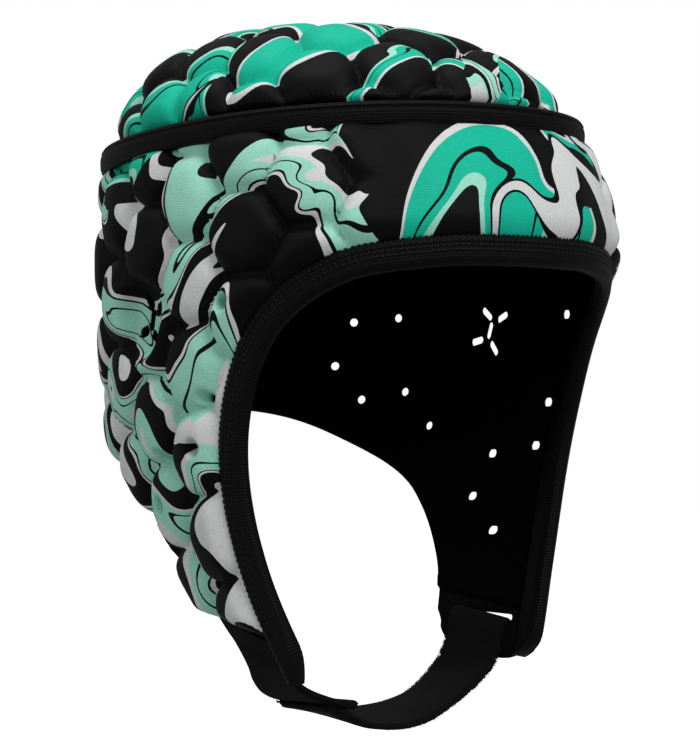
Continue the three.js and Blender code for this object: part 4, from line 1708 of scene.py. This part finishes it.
@dataclass
class ChinStrap:
    """The brushed band round the chin and through the slot."""

    half_width: float = 15.5
    thickness: float = 2.2
    end_thickness: float = 4.0
    thick_until_x: float = -28.0
    thin_from_x: float = -8.0
    middle_y: float = -10.2
    skew: float = 0.221
    step: float = 0.5
    curve_points: int = 600
    columns: int = 21
    end_rings: int = 3
    # X, Z, lean, roll, and how far the rear edge is drawn in
    line: Rows = (
        (-38.0, -240.6, 0.0, 0.0, 0.0), (-28.0, -243.1, 0.0, 0.08, 0.0), (-16.0, -246.3, 0.0, 0.15, 0.0),
        (-4.0, -247.8, 0.0, 0.17, 0.0), (8.0, -247.8, 0.0, 0.175, 0.0), (20.0, -246.2, 0.0, 0.13, 0.0),
        (32.0, -242.5, 0.0, 0.06, 0.0), (42.0, -237.6, 0.03, 0.05, 0.2), (48.0, -233.2, 0.1, 0.05, 1.0),
        (51.8, -228.5, 0.2, 0.07, 3.6), (53.9, -222.5, 0.24, 0.11, 5.0), (55.6, -215.6, 0.24, 0.16, 5.0),
        (59.6, -211.6, 0.2, 0.18, 5.0), (63.2, -213.8, 0.2, 0.18, 5.6), (62.4, -220.0, 0.2, 0.15, 8.0),
        (61.1, -225.0, 0.2, 0.12, 9.6),
    )
    ragged: float = 0.4
    ragged_run: int = 5
    ragged_seed: int = 7
    fibres: int = 3200
    fibre_seed: int = 11
    fibre_least: float = 0.4
    fibre_longer: float = 0.9
    fibre_radii: tuple[float, float] = (0.16, 0.03)
    fibre_spread: float = 0.55
    fibre_shift: float = 0.3
    fibres_at_end: float = 0.2

    def middle(self) -> Array:
        """Middle surface of the band.

        Returns:
            Points by place along it, by place across it from front to rear and by coordinate.
        """
        x, z, lean, roll, drawn = even(spline(self.line, self.curve_points), self.step).T
        line = np.stack([x, self.middle_y + self.skew * x, z], axis=1)
        across = unit(np.stack([-lean, np.ones_like(x), roll], axis=1))
        width = 2.0 * self.half_width - drawn[:, None]
        reach = np.linspace(0.0, 1.0, self.columns) * width - self.half_width
        return line[:, None, :] + across[:, None, :] * reach[..., None]

    def band(self, middle: Array) -> Mesh:
        """Band with ragged edges, which is thicker at its free end.

        Args:
            middle: Its middle surface.

        Returns:
            The closed body.
        """
        count, run = len(middle), self.ragged_run
        chance = np.random.default_rng(self.ragged_seed)
        coarse = np.repeat(chance.normal(0.0, self.ragged, (count // run + 1, 2)), run, axis=0)[:count]
        ragged = coarse + chance.normal(0.0, 0.5 * self.ragged, (count, 2))
        thin = smoothstep(middle[:, self.columns // 2, :1], self.thick_until_x, self.thin_from_x)
        thickness = blend(self.end_thickness, self.thickness, thin)
        return sweep(close_ends(band_rings(middle, thickness, ragged), self.end_rings), False)

    def fuzz(self, middle: Array) -> Mesh:
        """Short fibres along the edges and the free end.

        Args:
            middle: Middle surface of the band.

        Returns:
            All fibres in one mesh.
        """
        chance, count, columns = np.random.default_rng(self.fibre_seed), self.fibres, self.columns
        along, across = unit(np.gradient(middle, axis=0)), unit(np.gradient(middle, axis=1))
        row = chance.integers(0, len(middle), count)
        column = np.where(chance.random(count) < 0.5, 0, columns - 1)
        at_end = chance.random(count) < self.fibres_at_end
        row = np.where(at_end, 0, row)
        column = np.where(at_end, chance.integers(0, columns, count), column)
        outward = across[row, column] * np.where(column == 0, -1.0, 1.0)[:, None]
        outward = np.where(at_end[:, None], -along[row, column], outward)
        way = unit(outward + chance.normal(0.0, self.fibre_spread, (count, 3)))
        aside = unit(np.cross(way, chance.normal(0.0, 1.0, (count, 3))))
        length = self.fibre_least + self.fibre_longer * chance.random((count, 1))
        shift = along[row, column] * chance.normal(0.0, self.fibre_shift, (count, 1))
        spots = middle[row, column] + way * length / 2.0 + shift
        shape = bmesh.new()
        root, tip = self.fibre_radii
        bmesh.ops.create_cone(shape, cap_ends=True, segments=3, radius1=root, radius2=tip, depth=1.0)
        return repeat(shape, frames_at(spots, aside, np.cross(way, aside), way * length))

    def build(self, finishes: Finishes) -> None:
        """Build and dress the band and its fibres.

        Args:
            finishes: The materials.
        """
        middle = self.middle()
        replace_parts(add_piece("strap_band", self.band(middle), finishes.pile), "chin_strap")
        add_piece("strap_fuzz", self.fuzz(middle), finishes.pile)


# Studio


@dataclass(frozen=True)
class Studio:
    """Pale floor, soft lights and the camera at the photo's angle, in metres and degrees."""

    azimuth: float = -37.0
    elevation: float = -1.5
    distance: float = 1.15
    target_z: float = -0.1215
    focal_px: float = 3093.0
    frame_px: tuple[int, int] = (700, 750)
    target_px: float = 357.0
    sensor: float = 36.0
    floor_z: float = -0.335
    floor_radius: float = 9.0
    floor_grey: float = 0.25
    floor_roughness: float = 0.9
    floor_light: float = 0.12
    room_light: float = 0.32
    # Name, place and power in watts
    lights: tuple[tuple[str, tuple[float, float, float], float], ...] = (
        ("key_light", (-0.1, -1.3, 0.9), 20.0),
        ("top_light", (-0.2, 0.1, 1.2), 9.5),
        ("side_light", (-1.5, 0.2, 0.3), 5.0),
    )
    light_size: float = 1.0

    def aim(self, name: str, data: bpy.types.ID, place: Vector) -> bpy.types.Object:
        """Add a camera or a light that looks at the guard.

        Args:
            name: Its name.
            data: What it is.
            place: Where it is.

        Returns:
            The object.
        """
        thing = bpy.data.objects.new(name, data)
        thing.location = place
        way = place - Vector((0.0, 0.0, self.target_z))
        thing.rotation_euler = way.to_track_quat("Z", "Y").to_euler()
        bpy.context.scene.collection.objects.link(thing)
        return thing

    def camera(self) -> None:
        """Set up the camera."""
        turn, tilt = math.radians(self.azimuth), math.radians(self.elevation)
        back = Vector((math.sin(turn) * math.cos(tilt), -math.cos(turn) * math.cos(tilt), math.sin(tilt)))
        data = bpy.data.cameras.new("photo_camera")
        data.sensor_fit = "VERTICAL"
        data.sensor_height = self.sensor
        data.lens = self.focal_px * self.sensor / self.frame_px[1]
        data.shift_x = (self.frame_px[0] / 2.0 - self.target_px) / self.frame_px[1]
        place = Vector((0.0, 0.0, self.target_z)) + back * self.distance
        bpy.context.scene.camera = self.aim("photo_camera", data, place)

    @staticmethod
    def seen(graph: Graph, light: float) -> Socket:
        """Strength that is white to the camera and dimmer as a light."""
        values = {"Factor": graph.add("ShaderNodeLightPath").outputs["Is Camera Ray"], "A": light, "B": 1.0}
        return graph.add("ShaderNodeMix", values, data_type="FLOAT").outputs["Result"]

    def floor(self) -> None:
        """Lay the pale floor."""
        mesh = bmesh.new()
        bmesh.ops.create_circle(mesh, cap_ends=True, segments=64, radius=self.floor_radius)
        bmesh.ops.translate(mesh, vec=(0.0, 0.0, self.floor_z), verts=mesh.verts)
        data = bpy.data.meshes.new("floor")
        mesh.to_mesh(data)
        mesh.free()
        material = bpy.data.materials.new("pale_floor")
        material.use_nodes = True
        sockets = material.node_tree.nodes["Principled BSDF"].inputs
        sockets["Base Color"].default_value = (self.floor_grey, self.floor_grey, self.floor_grey, 1.0)
        sockets["Roughness"].default_value = self.floor_roughness
        sockets["Emission Color"].default_value = (1.0, 1.0, 1.0, 1.0)
        graph = Graph(material.node_tree)
        graph.link(self.seen(graph, self.floor_light), sockets["Emission Strength"])
        data.materials.append(material)
        plane = bpy.data.objects.new("floor", data)
        bpy.context.scene.collection.objects.link(plane)

    def world(self) -> None:
        """Make the surroundings white to the camera and dimmer as a light."""
        world = bpy.data.worlds.new("white_room")
        world.use_nodes = True
        bpy.context.scene.world = world
        graph, sockets = Graph(world.node_tree), world.node_tree.nodes["Background"].inputs
        sockets["Color"].default_value = (1.0, 1.0, 1.0, 1.0)
        graph.link(self.seen(graph, self.room_light), sockets["Strength"])

    def build(self) -> None:
        """Build the whole studio."""
        self.floor()
        self.world()
        for name, place, power in self.lights:
            data = bpy.data.lights.new(name, "AREA")
            data.size = self.light_size
            data.energy = power
            self.aim(name, data, Vector(place))
        self.camera()
        bpy.context.scene.view_settings.view_transform = "Standard"
        LOG.info("studio ready")


def main() -> None:
    """Build every sub-assembly in order, then the studio."""
    logging.basicConfig(level=logging.INFO, format="%(name)s: %(message)s")
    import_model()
    form, foam = HeadForm(), Foam()
    outline = Outline(form)
    finishes = Finishes.make()
    for assembly in (
        Crown(form, foam),
        Wall(form, foam, outline),
        Piping(form),
        Binding(form, outline),
        FlapEnds(form, outline),
        ChinStrap(),
    ):
        LOG.info("building %s", type(assembly).__name__)
        assembly.build(finishes)
    Studio().build()


if __name__ == "__main__":
    main()
